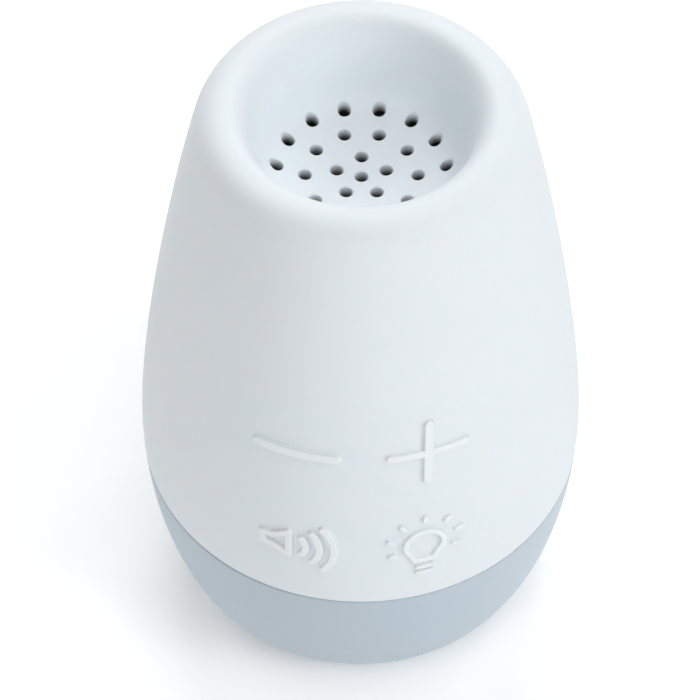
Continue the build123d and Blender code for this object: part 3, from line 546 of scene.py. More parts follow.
def dimple(piece, name, centre):
    """Share of the key's motion: 0 at the rim, 1 in the middle, smooth over the disc's outer ring."""
    def share(places):
        away = np.linalg.norm(places[:, [0, 2]] - centre, axis=1) / key_radius
        return smooth((1 - away) / (1 - key_flat))
    bend(piece, f"{name}_key", share)


# %% [markdown]
# ## The base
#
# The base is a stiff moulded cup. Its upper edge is rounded where it meets the skin, and its floor
# carries the battery door, three screw wells and the feet. It could be one spun outline with
# bevels. Bands of a turned profile give its faces here, one band per smooth stretch, so that sharp
# corners stay sharp. Round wells are opened in the floor's grid in the same way as the sound holes.

# %% Sizes of the base
base_wall = 2.2
base_top = seam_height - seam_gap / 2
inner_bend = 20.0  # height at which the inner wall starts to lean in
inner_foot = underside[0] - 1.0
floor_top = 3.2
under_level = underside[1]
door_hole, door_neck, door_shelf, door_edge = 14.55, 12.05, 2.0, 0.2
well_place, well_radius, well_depth, well_edge, well_bore = 22.0, 2.15, 9.2, 0.25, 1.25
well_ways = (90, 210, 330)
well_block = 6  # columns on each side of a well's middle
well_radii = np.linspace(19.0, 25.0, 7)  # rows of the floor between which a well lies
well_rows = (2, 8)
well_rings = 4

# %% The base's surface
base = Sheet()
neck = [(door_neck, floor_top, -1, 0), (door_neck, door_shelf, -1, 0)]
shelf = [(door_neck, door_shelf, 0, -1), (door_hole, door_shelf, 0, -1)]
recess = [(door_hole, door_shelf, -1, 0), (door_hole, under_level + door_edge, -1, 0)]
side_rows = np.stack(at_run(np.linspace(0, at_height(base_top - seam_round), 60)), -1)
rim_radius = side_rows[-1, 0]
inner_radius = rim_radius - base_wall
inner_wall = [(inner_radius, base_top, -1, 0), (inner_radius, inner_bend, -1, 0),
              (inner_foot, floor_top, -1, 0)]
inner_floor = [(inner_foot, floor_top, 0, 1), (door_neck, floor_top, 0, 1)]
for band in (neck, shelf, recess, inner_wall, inner_floor):
    base.weave(closed(turned(base, band)))

radii = [door_hole + door_edge, *well_radii, underside[0] - 0.6]
floor_rows = [(door_hole, under_level + door_edge, -0.7, -0.7)]
floor_rows += [(radius, under_level, 0, -1) for radius in radii]
rim = seam_edge(rim_radius, base_top - seam_round, range(15, 91, 15))
shell = turned(base, np.vstack([floor_rows, side_rows[1:], rim, [(inner_radius, base_top, 0, 1)]]))
keep = np.ones((len(shell) - 1, columns), bool)
lefts = [round((way + 90) / 360 * columns) - well_block for way in well_ways]
for left in lefts:
    keep[slice(*well_rows), np.arange(left, left + 2 * well_block) % columns] = False
base.weave(closed(shell), keep)
well_steps = [*round_edge(well_radius, well_edge), (well_radius, well_depth, 90),
              (well_radius, well_depth, 0), (well_bore, well_depth, 0)]
for way, left in zip(well_ways, lefts):
    centre = arc((0, 0), well_place, way, way, 1)[0]
    edge = border(shell, well_rows, (left, left + 2 * well_block))
    mouth = well_radius + well_edge
    ring = window(base, edge, centre, mouth, on_floor(under_level), [0, 1], well_rings)
    sink(base, ring, (*centre, 0), (0, 0, 1), well_steps)
print("base has", base.count, "points before the unused ones go")

# %% [markdown]
# ## Finishes from expressions
#
# A finish is a tree of nodes, and most of a tree is arithmetic. Wired by hand, a sum of three
# products takes five boxes. Here a number that varies over a surface is wrapped in a small class,
# so that `1 - mask * 0.2` adds the Math nodes by itself. Every other node comes from one method.
# All patterns read Object coordinates, in metres, so they have a true size and run on from one
# piece to the next.

# %% Shader maths
class Field:
    """A number that varies over a surface. Arithmetic on fields adds Math nodes to their finish."""

    def __init__(self, finish, socket):
        self.finish, self.socket = finish, socket

    def maths(self, operation, *others):
        """A Math node whose first value is this field."""
        values = dict(enumerate((self, *others)))
        return self.finish.field("Math", {"operation": operation}, values)

    def __add__(self, other): return self.maths("ADD", other)
    def __sub__(self, other): return self.maths("SUBTRACT", other)
    def __rsub__(self, other): return self.maths("MULTIPLY_ADD", -1.0, other)
    def __mul__(self, other): return self.maths("MULTIPLY", other)
    def __truediv__(self, other): return self.maths("DIVIDE", other)
    def __pow__(self, other): return self.maths("POWER", other)
    def __lt__(self, other): return self.maths("LESS_THAN", other)
    def __gt__(self, other): return self.maths("GREATER_THAN", other)
    def __abs__(self): return self.maths("ABSOLUTE")
    __radd__, __rmul__ = __add__, __mul__


def reach(a, b):
    """Distance from the place where two fields are both 0: the root of a^2 + b^2."""
    return (a * a + b * b) ** 0.5


# %% A finish and its nodes
class Finish:
    """A material and the nodes that it is made of."""

    def __init__(self, name, **constants):
        self.material = bpy.data.materials.new(name)
        self.material.use_nodes = True
        self.tree = self.material.node_tree
        self.shader = self.tree.nodes["Principled BSDF"]
        self.set(**constants)
        self.place = self.node("TexCoord", output="Object")

    def node(self, kind, settings={}, sockets={}, output=0):
        """Adds a node: its type, then its settings, then the values or links of its sockets."""
        made = self.tree.nodes.new("ShaderNode" + kind)
        for name, value in settings.items():
            setattr(made, name, value)
        for name, value in sockets.items():
            self.feed(made.inputs[name], value)
        return made.outputs[output]

    def field(self, *node):
        """The same for a node that gives a number."""
        return Field(self, self.node(*node))

    def feed(self, socket, value):
        """Links a field or a node's output to a socket, or sets the socket's own value."""
        value = getattr(value, "socket", value)
        if isinstance(value, bpy.types.NodeSocket):
            self.tree.links.new(value, socket)
        elif isinstance(value, tuple) and len(socket.default_value) == 4:
            socket.default_value = (*value, 1.0)
        else:
            socket.default_value = value

    def set(self, **values):
        """Sets or links the shader's sockets, named with low lines for spaces."""
        for name, value in values.items():
            label = name.replace("_", " ").title().replace("Ior", "IOR")
            self.feed(self.shader.inputs[label], value)
        return self

    def axis(self, name):
        """One of the three Object coordinates, in millimetres."""
        return self.field("SeparateXYZ", {}, {0: self.place}, name) / mm

    def stretch(self, x, y, z):
        """The coordinates with each axis scaled, for a grain that is longer one way."""
        return self.node("VectorMath", {"operation": "MULTIPLY"}, {0: self.place, 1: (x, y, z)})

    def noise(self, size, detail=2.0, roughness=0.5, place=None):
        """Soft noise between 0 and 1 whose lumps are about this many millimetres apart."""
        sockets = {"Vector": place or self.place, "Scale": 1 / (size * mm)}
        sockets |= {"Detail": detail, "Roughness": roughness}
        return self.field("TexNoise", {}, sockets, "Fac")

    def cells(self, size, feature="F1"):
        """Distance to the middles of Voronoi cells about this many millimetres apart."""
        sockets = {"Vector": self.place, "Scale": 1 / (size * mm)}
        return self.field("TexVoronoi", {"feature": feature}, sockets, "Distance")

    def step(self, value, low, high):
        """0 below low, 1 above high, smooth between."""
        sockets = {"Value": value, "From Min": low, "From Max": high}
        return self.field("MapRange", {"interpolation_type": "SMOOTHSTEP"}, sockets)

    def mix(self, share, low, high):
        """Colour that goes from low to high as the share goes from 0 to 1."""
        return self.node("Mix", {"data_type": "RGBA"}, {0: share, 6: low, 7: high}, 2)

    def bump(self, height, depth):
        """Normal of a surface whose height field goes up by this many millimetres from 0 to 1."""
        self.set(normal=self.node("Bump", {}, {"Height": height, "Distance": depth * mm}))
        return self

    def grain(self, size, depth):
        """The fine even grain that a mould leaves."""
        return self.bump(self.noise(size, 3, 0.6), depth)


# %% [markdown]
# ## White skin and blue-grey base
#
# The skin is matt silicone. It scatters a little light under its surface, which softens its
# shadows, and it has a faint grain from the mould. Its white is slightly cool. Its colour also
# carries painted light: a painted highlight on the faces of the signs, painted shade at their feet,
# and painted shade that deepens down the sound holes and the keys' windows. The lights could give
# these, but small forms read better when the colour helps, so the level that the mesh carries picks
# them. The base is stiff plastic with a satin surface and a fine texture.

# %% The skin's finish
white_skin = Finish("white_skin", subsurface_weight=0.12, subsurface_scale=0.0015,
                    specular_ior_level=0.4)
level = white_skin.field("Attribute", {"attribute_name": "level"}, {}, "Fac")
# The level picks painted light: a painted highlight on the signs' faces, painted shade at their feet
# and down the sunk walls.
face = white_skin.step(level, 0.35, 0.55)
above = white_skin.step(level, 0.02, 0.2)
# Painted shade: 0 near the surface, 1 from about 2 mm down the sound holes and the keys' windows.
sunk_wall_shade = white_skin.step(level, -0.35, -2.2)
tone = white_skin.mix(white_skin.noise(22, 3), (0.78, 0.833, 0.865), (0.81, 0.858, 0.89))
# Painted shade on the sloping feet of the signs, where they are raised but not on their faces.
tone = white_skin.mix(above * (1 - face), tone, (0.70, 0.745, 0.77))
# Painted highlight: the faces of the signs are lighter than the skin round them.
tone = white_skin.mix(face, tone, (0.85, 0.895, 0.92))
# Painted shade, near-black brown, down the sunk walls.
white_skin.set(base_color=white_skin.mix(sunk_wall_shade, tone, (0.13, 0.11, 0.09)))
white_skin.set(roughness=0.56 + 0.08 * white_skin.noise(6, 2))
white_skin.bump(white_skin.noise(0.16, 2) + 0.5 * white_skin.noise(0.5, 2), 0.004)
print("white skin", len(white_skin.tree.nodes), "nodes")

# %% The base's finish
blue_grey = Finish("blue_grey_shell", specular_ior_level=0.45)
tone = blue_grey.mix(blue_grey.noise(30, 3), (0.485, 0.567, 0.632), (0.51, 0.592, 0.662))
blue_grey.set(base_color=tone, roughness=0.42 + 0.08 * blue_grey.noise(3, 3))
blue_grey.grain(0.12, 0.006)
print("blue-grey shell", len(blue_grey.tree.nodes), "nodes")

# %% Skin, keys and base as objects
dressed = set()


def stand_for(piece, body, node):
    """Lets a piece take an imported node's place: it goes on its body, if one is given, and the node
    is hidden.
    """
    if body:
        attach(piece, body)
    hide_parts(node)
    dressed.add(node)


stand_for(skin.piece("silicone_skin", white_skin.material), "housing", "soft_skin")
for name in signs:
    cap, centre = make_key(name)
    piece = cap.piece(f"{name}_key_skin", white_skin.material)
    dimple(piece, name, centre)
    stand_for(piece, None, f"key_{name}")
shell_piece = base.piece("moulded_base", blue_grey.material)
stand_for(shell_piece, "housing", "base_shell")

# %% [markdown]
# ## Finishes of the pieces inside
#
# The rest of the machine is what a repairer sees: feet and battery door from below, then tube,
# cells, board and speaker. Their solids are right as they come, so they only get finishes. Most are
# moulded plastic or plated metal, and differ in colour, gloss and grain, so two helpers make them.
# One finish for all plastics would be quicker, but a cartridge, a plunger and a milky frame are
# told apart by just these small differences.

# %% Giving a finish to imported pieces
def dress(finish, *names):
    """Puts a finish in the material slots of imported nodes."""
    for name in names:
        dressed.add(name)
        for slot in nodes[name].material_slots:
            slot.material = finish.material
    print(finish.material.name, "on", ", ".join(names))


def moulded(name, dark, light, gloss=0.5, grain=0.15, depth=0.006, **constants):
    """Plastic or rubber from a mould: slight drift of colour, uneven gloss, fine even grain."""
    finish = Finish(name, **constants)
    finish.set(base_color=finish.mix(finish.noise(9, 3), dark, light))
    finish.set(roughness=gloss + 0.12 * finish.noise(2.5, 3))
    return finish.grain(grain, depth)


def plated(name, dark, light, gloss=0.3, along=(1, 1, 8), depth=0.002):
    """Plated or rolled metal: streaks drawn out along one axis, in colour, gloss and height."""
    finish = Finish(name, metallic=1.0)
    streak = finish.noise(0.6, 4, 0.6, finish.stretch(*[1 / share for share in along]))
    stain = finish.noise(3.5, 3)
    finish.set(base_color=finish.mix(stain, dark, light))
    finish.set(roughness=gloss + 0.16 * streak + 0.08 * stain)
    return finish.bump(streak, depth)


# %% Moulded pieces
dress(blue_grey, "battery_door")
dress(moulded("tube_plastic", (0.47, 0.48, 0.49), (0.53, 0.54, 0.55), 0.45), "battery_tube")
black, soot = (0.010, 0.010, 0.012), (0.017, 0.017, 0.019)
dress(moulded("cartridge_plastic", black, soot, 0.38, 0.2, 0.01), "battery_cartridge")
coal, smoke = (0.014, 0.014, 0.016), (0.02, 0.02, 0.023)
plungers = [f"plunger_{name}" for name in signs]
dress(moulded("plunger_plastic", coal, smoke, 0.3, 0.1, 0.003), *plungers)
sockets = moulded("socket_plastic", (0.68, 0.63, 0.5), (0.74, 0.7, 0.58), 0.22, 0.25, 0.003,
                  subsurface_weight=0.15, subsurface_scale=0.001)
dress(sockets, "wire_sockets")
milky = moulded("milky_frame", (0.74, 0.75, 0.72), (0.8, 0.8, 0.77), 0.4, 0.3, 0.006,
                subsurface_weight=0.5, subsurface_scale=0.004)
dress(milky, "inner_frame")

# %% [markdown]
# ## Rubber, foam, cloth and paper
#
# Rubber feet are moulded against a pebbled tool, so their grain is a net of small cells. Foam is
# full of burst bubbles: the same cells, but sunk. The speaker's spider is cotton dipped in resin,
# with threads that cross: one wave along x, one along y, and where one is high the other dips. Its
# cone is pressed paper, with fibres that lie both ways. An image of each would be easy, but would
# blur close up; these patterns come from formulas and stay sharp at any distance.

# %% Rubber and foam
rubber = moulded("foot_rubber", (0.055, 0.065, 0.078), (0.075, 0.086, 0.1), 0.78)
pebbles = rubber.cells(0.4, "SMOOTH_F1")
dress(rubber.bump(pebbles + 0.3 * rubber.noise(0.1, 2), 0.05), "foot_pads")
black_rubber, worn_rubber = (0.010, 0.010, 0.010), (0.018, 0.018, 0.018)
surround = moulded("surround_rubber", black_rubber, worn_rubber, 0.5, 0.12, 0.004)
for name, node, size, dark, light in (
    ("door_foam", "door_pad", 0.45, (0.012, 0.012, 0.014), (0.04, 0.04, 0.043)),
    ("gasket_foam", "speaker_gasket", 0.3, (0.02, 0.02, 0.02), (0.055, 0.055, 0.055)),
):
    foam = Finish(name, specular_ior_level=0.2)
    pits = foam.cells(size)
    # The pits are painted darker than their rims: painted shade in the burst bubbles.
    foam.set(base_color=foam.mix(pits, dark, light), roughness=0.98 - 0.2 * pits)
    dress(foam.bump(pits, size / 3), node)

# %% Woven spider and pressed paper cone
thread_pitch = 0.45
cloth = Finish("spider_cloth", specular_ior_level=0.3)
warp, weft = ((cloth.axis(name) * (2 * pi / thread_pitch)).maths("SINE") for name in "XY")
threads = abs(warp * weft) + 0.25 * cloth.noise(0.08, 3)
cloth.set(base_color=cloth.mix(threads, (0.3, 0.17, 0.05), (0.5, 0.33, 0.13)))
cloth.set(roughness=0.75 + 0.15 * cloth.noise(1.2, 2))
cloth.bump(threads, 0.05)

paper = Finish("cone_paper", specular_ior_level=0.25)
pulp = paper.noise(0.9, 5, 0.75)
lying = [paper.noise(0.22, 3, 0.7, paper.stretch(*way)) for way in ((1, 0.2, 1), (0.2, 1, 1))]
fibres = lying[0] + lying[1]
tone = paper.mix(paper.step(fibres, 0.9, 1.3), (0.014, 0.013, 0.012), (0.04, 0.036, 0.032))
paper.set(base_color=tone, roughness=0.85 + 0.1 * pulp)
dress(paper.bump(pulp + 0.5 * fibres, 0.05), "speaker_cone")

# %% [markdown]
# ## Soft rings that bend with the cone
#
# The cone hangs in two soft rings: a rolled rubber surround at its rim and a corrugated cloth
# spider at its neck. Their outer edges are glued to the basket and stay still. Their inner edges
# are glued to the cone and its coil and go along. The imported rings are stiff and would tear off, so
# each is drawn anew as a line from its outer to its inner edge, and turned round the axis with a
# wall on both sides of the line. The share of the cone's motion grows smoothly towards its inside.

# %% A line turned into a thin ring
def evened(line, spacing=0.07, span=5):
    """The same line as evenly spaced points, with its corners rounded: each point becomes the mean
    of itself and its neighbours."""
    steps = np.linalg.norm(np.diff(line, axis=0), axis=1)
    along = np.concatenate([[0], np.cumsum(steps)])
    even = np.linspace(0, along[-1], int(along[-1] / spacing))
    line = np.stack([np.interp(even, along, column) for column in np.transpose(line)], -1)
    padded = np.pad(line, ((span // 2, span // 2), (0, 0)), "edge")
    return np.mean([padded[k : k + len(line)] for k in range(span)], axis=0)


def soft_ring(name, line, wall, free, finish, node):
    """The line, from outside inwards, is moved along its normals by plus and minus half the wall,
    and the two are joined at both ends. The share of the cone's motion is worked out between the
    two free radii and printed."""
    line = evened(line)
    way = np.gradient(line, axis=0)
    way /= np.linalg.norm(way, axis=1)[:, None]
    normal = np.stack([way[:, 1], -way[:, 0]], -1)
    upper, lower = line + wall / 2 * normal, (line - wall / 2 * normal)[::-1]
    inner_end, outer_end = np.stack([upper[-1], lower[0]]), np.stack([lower[-1], upper[0]])
    ring = Sheet()
    bands = ((upper, normal), (inner_end, way[-1]), (lower, -normal[::-1]), (outer_end, -way[0]))
    for points, normals in bands:
        profile = np.hstack([points, np.broadcast_to(normals, points.shape)])
        ring.weave(closed(turned(ring, profile)))
    piece = ring.piece(name, finish.material)
    outer, inner = free
    bend(piece, "cone", lambda places: smooth((outer - np.hypot(*places.T[:2])) / (outer - inner)))
    stand_for(piece, None, node)


# %% The rolled surround
(_, _, roll_level), (roll_outer, _, roll_top) = np.array(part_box("speaker_surround")) / mm
cone_radius, _, cone_level = np.array(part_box("speaker_cone")[1]) / mm
roll_wall, cone_wall, cone_slope, glued_width = 0.35, 0.5, 0.4, 0.9
roll_radius = roll_top - roll_level
half_roll = arc((roll_outer - roll_radius, roll_level), roll_radius - roll_wall / 2, 0, 180, 40)
glued = cone_level - cone_wall - roll_wall / 2 - 0.02  # lies under the cone's rim
roll_line = [
    (roll_outer - 0.1, roll_level - 0.22), *half_roll, (cone_radius, glued),
    (cone_radius - glued_width, glued - glued_width * cone_slope),
]
soft_ring("rolled_surround", roll_line, roll_wall, (roll_outer - 0.2, cone_radius + 0.1), surround,
          "speaker_surround")

# %% The corrugated spider
(_, _, spider_level), (spider_outer, _, spider_top) = np.array(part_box("speaker_spider")) / mm
coil_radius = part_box("voice_coil")[1][0] / mm
cloth_wall, fold_height, folds, collar = 0.3, 0.22, 3, 0.35
fold_start, fold_end = spider_outer - 0.9, coil_radius + 0.5
radii = np.linspace(fold_start, fold_end, 90)
phase = 2 * pi * folds * (fold_start - radii) / (fold_start - fold_end)
heights = spider_top - cloth_wall / 2 - fold_height * (1 - np.cos(phase))
glued, neck_radius = spider_level + cloth_wall / 2, coil_radius + cloth_wall / 2 + 0.02
spider_line = [
    (spider_outer - 0.05, glued), (spider_outer - 0.6, glued), *np.stack([radii, heights], -1),
    (neck_radius, heights[-1]), (neck_radius, heights[-1] + collar),
]
soft_ring("corrugated_spider", spider_line, cloth_wall, (fold_start, fold_end), cloth,
          "speaker_spider")

# %% [markdown]
# ## Metal
#
# Contacts are nickel, the speaker's plates are turned and zinc-plated, the magnet is pressed
# ferrite powder, and the coil is fine copper wire laid turn by turn. Plain shiny metal would look
# like a mirror, and what tells these apart is how they were made. A lathe leaves rings, so the
# turned finish reads its noise along the distance from the axis. The coil's ridges follow height.

# %% Plated strips and screws
nickel = plated("nickel_strip", (0.55, 0.52, 0.46), (0.66, 0.63, 0.57), 0.2, (8, 1, 1))
dress(nickel, "cartridge_contacts", "tube_contacts")
screw_steel = plated("screw_steel", (0.42, 0.43, 0.45), (0.55, 0.56, 0.57), 0.28, (1, 1, 4))
dress(screw_steel, "housing_screws", "tube_screws", "board_screws", "light_screws",
      "speaker_screws")

# %% Turned steel and wound copper
turned_steel = Finish("yoke_steel", metallic=1.0)
x, y, z = (turned_steel.axis(name) for name in "XYZ")
ring_place = turned_steel.node("CombineXYZ", {}, {"X": reach(x, y) * mm, "Z": z * mm})
rings = turned_steel.noise(0.22, 2, 0.6, ring_place)
tone = turned_steel.mix(turned_steel.noise(4, 3), (0.4, 0.41, 0.43), (0.52, 0.53, 0.54))
turned_steel.set(base_color=tone, roughness=0.26 + 0.2 * rings)
dress(turned_steel.bump(rings, 0.012), "speaker_yoke", "speaker_top_plate")

wire_radius = 0.09
coil = Finish("coil_copper", metallic=1.0)
turns = coil.axis("Z").maths("PINGPONG", wire_radius) / wire_radius
# Painted shade and painted highlight: each turn of wire is dark in the grooves and bright on its
# crest.
coil.set(base_color=coil.mix(turns, (0.22, 0.055, 0.02), (0.7, 0.27, 0.11)))
coil.set(roughness=0.45 - 0.2 * turns)
dress(coil.bump(turns, 0.06), "voice_coil")

# %% Magnet and basket
ferrite = Finish("magnet_ferrite", specular_ior_level=0.4)
pores = ferrite.step(ferrite.cells(0.5), 0.08, 0.22)
tone = ferrite.mix(ferrite.noise(1.5, 4), (0.018, 0.018, 0.021), (0.04, 0.04, 0.043))
ferrite.set(base_color=tone, roughness=0.75 - 0.2 * pores)
dress(ferrite.bump(pores + 0.3 * ferrite.noise(0.3, 3), 0.03), "speaker_magnet")

basket = Finish("basket_steel", specular_ior_level=0.5, coat_roughness=0.25)
peel = basket.noise(0.7, 1)
tone = basket.mix(basket.noise(5, 2), (0.012, 0.012, 0.013), (0.02, 0.02, 0.022))
basket.set(base_color=tone, roughness=0.4 + 0.1 * peel)
dress(basket.bump(peel, 0.02), "speaker_basket")

# %% [markdown]
# ## Boards, cells and wires
#
# A board carries tracks under its mask. They could be drawn one by one, but a rule gives them too:
# tracks run straight with square turns, so each two-millimetre cell of the board picks one of two
# directions by a number drawn from its place, and a track crosses it that way. The battery cells
# wear a printed sleeve that ends short of their metal ends, and each pair of wires has one dark and
# one light sleeve.

# %% Printed boards
track_pitch, track_width, land_radius = 2.0, 0.22, 0.45


def tracks(finish, across, up):
    """Share of copper: tracks along one of two axes in each cell of a square net, and lands."""
    cell = [(value / track_pitch).maths("FLOOR") for value in (across, up)]
    where = finish.node("CombineXYZ", {}, {"X": cell[0], "Y": cell[1]})
    pick = finish.field("TexWhiteNoise", {"noise_dimensions": "3D"}, {"Vector": where})
    off = [abs((value / track_pitch).maths("FRACT") - 0.5) * track_pitch for value in (across, up)]
    lines = [1 - finish.step(value, track_width - 0.05, track_width + 0.05) for value in off]
    land = 1 - finish.step(reach(*off), land_radius - 0.03, land_radius + 0.03)
    copper = lines[0] * (pick < 0.42) + lines[1] * (pick > 0.38) * (pick < 0.85)
    return copper.maths("MINIMUM", 1.0), land * (pick > 0.72)


green, bright_green, tin = (0.012, 0.085, 0.04), (0.03, 0.17, 0.075), (0.6, 0.55, 0.42)
white, bright_white, gold = (0.74, 0.75, 0.74), (0.82, 0.82, 0.8), (0.62, 0.5, 0.28)
for name, node, axes, mask, copper, pad in (
    ("board_laminate", "main_board", "XZ", green, bright_green, tin),
    ("light_board_laminate", "light_board", "XY", white, bright_white, gold),
):
    board = Finish(name, specular_ior_level=0.5)
    lines, lands = tracks(board, *(board.axis(axis) for axis in axes))
    painted = board.mix(lines, mask, copper)
    board.set(base_color=board.mix(lands, painted, pad), metallic=lands * 0.9)
    board.set(roughness=0.34 + 0.12 * board.noise(1.5, 3) - 0.08 * lines)
    dress(board.bump(lines + lands + 0.15 * board.noise(0.3, 2), 0.03), node)

# %% Switches and the sound chip
dress(plated("switch_metal", (0.5, 0.5, 0.49), (0.62, 0.62, 0.6), 0.26, (1, 6, 1)), "switch_bodies")

chip_middle, chip_half = 42.05, 3.76  # height of its middle, and from there to the legs
chip = Finish("chip_epoxy")
legs = abs(chip.axis("Z") - chip_middle) > chip_half
epoxy = chip.mix(chip.noise(2, 3), (0.006, 0.006, 0.007), (0.012, 0.012, 0.013))
chip.set(base_color=chip.mix(legs, epoxy, (0.6, 0.6, 0.58)), metallic=legs * 1.0)
chip.set(roughness=0.6 - 0.3 * legs)
dress(chip.grain(0.12, 0.008), "sound_chip")

# %% Small parts, lights and terminals
can_place, can_radius, can_end_radius, can_end = (-8.4, 60.0), 3.2, 2.55, -14.2
parts = Finish("part_ceramic")
x, y, z = (parts.axis(name) for name in "XYZ")
far = reach(x - can_place[0], z - can_place[1])
can = far < can_radius
end = can * (far < can_end_radius) * (y > can_end)
clay = parts.mix(parts.noise(1.1, 3), (0.13, 0.08, 0.05), (0.22, 0.15, 0.1))
sleeve = parts.mix(can, clay, (0.02, 0.03, 0.06))
parts.set(base_color=parts.mix(end, sleeve, (0.62, 0.62, 0.62)))
parts.set(metallic=end * 0.95, roughness=0.4 - 0.1 * can)
dress(parts.grain(0.2, 0.005), "board_parts")

light_ring, resin_radius, resin_level = 8.4, 1.0, 60.5  # the four lights lie on this ring
lights = Finish("light_package", specular_ior_level=0.5)
from_light = reach(*(abs(lights.axis(name)) - light_ring * sqrt(0.5) for name in "XY"))
resin = 1 - lights.step(from_light, resin_radius, resin_radius + 0.12)
resin = resin * (lights.axis("Z") > resin_level)
package = lights.mix(lights.noise(1.2, 2), (0.78, 0.78, 0.76), (0.86, 0.86, 0.84))
lights.set(base_color=lights.mix(resin, package, (0.85, 0.62, 0.12)), roughness=0.45 - 0.33 * resin)
dress(lights.bump(resin * from_light, 0.08), "night_lights")

lug_start = -17.3
strip = Finish("terminal_board")
lug = strip.axis("Y") < lug_start
fibre = strip.mix(strip.noise(0.5, 4), (0.2, 0.09, 0.035), (0.29, 0.14, 0.06))
strip.set(base_color=strip.mix(lug, fibre, (0.64, 0.63, 0.6)), metallic=lug * 1.0)
strip.set(roughness=0.55 - 0.25 * lug)
dress(strip.grain(0.5, 0.01), "speaker_terminals")

# %% Battery cells
cell_middle = 29.95
sleeve_start, sleeve_end, band_start, stripe_start, stripe_end = 8.9, 50.4, 37.5, 35.9, 36.7
jacket = Finish("cell_jacket", coat_roughness=0.15)
x, y, z = (jacket.axis(name) for name in "XYZ")
turned_over = (y < 0) * (x < 0)  # the middle cell of the row stands on its other end
height = z + turned_over * (2 * cell_middle - 2 * z)


def from_height(level):
    """1 above a height along the cell, 0 below, with a sharp printed edge between."""
    return jacket.step(height, level, level + 0.05)


sleeve = from_height(sleeve_start) * (1 - from_height(sleeve_end))
band = sleeve * from_height(band_start)
stripe = sleeve * from_height(stripe_start) * (1 - from_height(stripe_end))
scuff = jacket.noise(0.5, 4, 0.7, jacket.stretch(1, 1, 0.15))
metal = jacket.mix(scuff, (0.52, 0.52, 0.51), (0.68, 0.68, 0.66))
printed = jacket.mix(sleeve, metal, (0.3, 0.32, 0.34))
printed = jacket.mix(band, printed, (0.02, 0.2, 0.22))
jacket.set(base_color=jacket.mix(stripe, printed, (0.75, 0.76, 0.76)), metallic=1 - 0.6 * sleeve)
jacket.set(roughness=0.2 + 0.12 * scuff + 0.1 * sleeve)
dress(jacket.bump(sleeve + 0.1 * scuff, 0.05), "battery_cells")

# %% Wire sleeves
plain_pair = (0.012, 0.012, 0.013), (0.42, 0.02, 0.015)
light_pair = (0.03, 0.08, 0.3), (0.7, 0.7, 0.68)
light_exit = (3.6, -9.8)  # where the light pair leaves its socket
for node, (dark, light), place, across_pair in (
    ("speaker_wires", plain_pair, (0.0, 0.0), 0.0),
    ("battery_wires", plain_pair, (0.0, 0.0), 0.0),
    ("light_wires", light_pair, light_exit, -0.636),
):  # the line x - place x = across (y - place y) parts the two wires of a pair
    wires = Finish(node, specular_ior_level=0.5)
    side = wires.axis("X") > (wires.axis("Y") - place[1]) * across_pair + place[0]
    dust = wires.noise(0.8, 3)
    wires.set(base_color=wires.mix(side, dark, light), roughness=0.36 + 0.16 * dust)
    dress(wires.bump(dust, 0.015), node)
print("dressed", len(dressed), "packed pieces, left as they came:", sorted(set(nodes) - dressed))

# %% [markdown]
# ## Floor, lights and camera
#
# The object stands on a white sweep in a bright studio. One sun-like lamp would draw a hard shadow,
# and a white sky alone would leave the body flat. Ten large soft lights on a dome are the way
# between: the strongest stands at the right, so the side that is turned from it falls off gently,
# and the ones above and behind keep the lip and the bowl bright. The floor glows a little, so that
# it stays white far out, and the world round it all is dark.

# %% The floor
floor_finish = Finish("studio_floor", roughness=0.9, specular_ior_level=0.1,
                      base_color=(0.95, 0.95, 0.95), emission_color=(1.0, 1.0, 1.0),
                      emission_strength=0.18)
half = 3.0
mesh = bpy.data.meshes.new("studio_floor")
corners = [(-half, -half, 0), (half, -half, 0), (half, half, 0), (-half, half, 0)]
mesh.from_pydata(corners, [], [(0, 1, 2, 3)])
mesh.materials.append(floor_finish.material)
floor = bpy.data.objects.new("studio_floor", mesh)
bpy.context.scene.collection.objects.link(floor)
print("floor", 2 * half, "m wide")

# %% Lights
light_distance = 1.3
light_target = Vector((0, 0, 0.05))


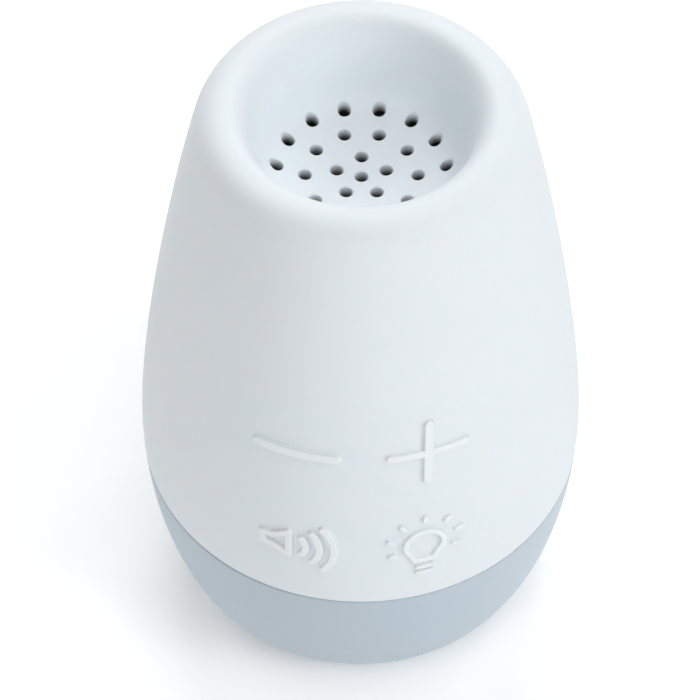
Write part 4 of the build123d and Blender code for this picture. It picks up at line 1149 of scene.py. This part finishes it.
def lamp(name, azimuth, elevation, size, power):
    """A square soft light that looks at the object. Azimuth 0 is in front, 90 at the right."""
    light = bpy.data.lights.new(name, "AREA")
    light.size, light.energy = size, power
    made = bpy.data.objects.new(name, light)
    turn, rise = radians(azimuth), radians(elevation)
    way = Vector((sin(turn) * cos(rise), -cos(turn) * cos(rise), sin(rise)))
    place = Matrix.Translation(light_target + light_distance * way)
    made.matrix_world = place @ way.to_track_quat("Z", "Y").to_matrix().to_4x4()
    bpy.context.scene.collection.objects.link(made)


studio = (  # name, azimuth, elevation, size in metres, power in watts
    ("right", 65, 25, 0.5, 5.6),
    ("back_top", 180, 50, 0.7, 4.9),
    ("front_top", 0, 72, 0.7, 4.1),
    ("back_left", -135, 25, 0.7, 3.3),
    ("back", 180, 25, 0.7, 3.3),
    ("left", -45, 25, 0.7, 2.3),
    ("front", 0, 25, 0.7, 2.15),
    ("right_top", 60, 60, 0.5, 1.7),
    ("back_right", 135, 35, 0.35, 1.3),
    ("top", 90, 75, 0.4, 1.3),
)
for name, *settings in studio:
    lamp(name + "_light", *settings)
world = bpy.data.worlds.new("dark_room")
world.use_nodes = True
world.node_tree.nodes["Background"].inputs["Strength"].default_value = 0.0
bpy.context.scene.world = world
bpy.context.scene.view_settings.view_transform = "Standard"
print("lights", len(studio), "with", round(sum(light[-1] for light in studio), 1), "W")

# %% Camera
look_rise, look_turn = radians(51.85), radians(0.8)
look_at = Vector((-4.18, -0.06, 49.74)) * mm
look_from = 447.1 * mm
camera_roll = radians(-0.40)
lens = bpy.data.cameras.new("studio_camera")
lens.lens, lens.sensor_width, lens.shift_x = 146.7, 36.0, 0.0229
lens.clip_start, lens.clip_end = 0.01, 20.0
camera = bpy.data.objects.new("studio_camera", lens)
way = Matrix.Rotation(look_turn, 3, "Z") @ Vector((0, -cos(look_rise), sin(look_rise)))
place = Matrix.Translation(look_at + look_from * way)
turn = way.to_track_quat("Z", "Y").to_matrix().to_4x4()
camera.matrix_world = place @ turn @ Matrix.Rotation(camera_roll, 4, "Z")
bpy.context.scene.collection.objects.link(camera)
bpy.context.scene.camera = camera
print("camera", np.round(camera.matrix_world.translation, 3).tolist())
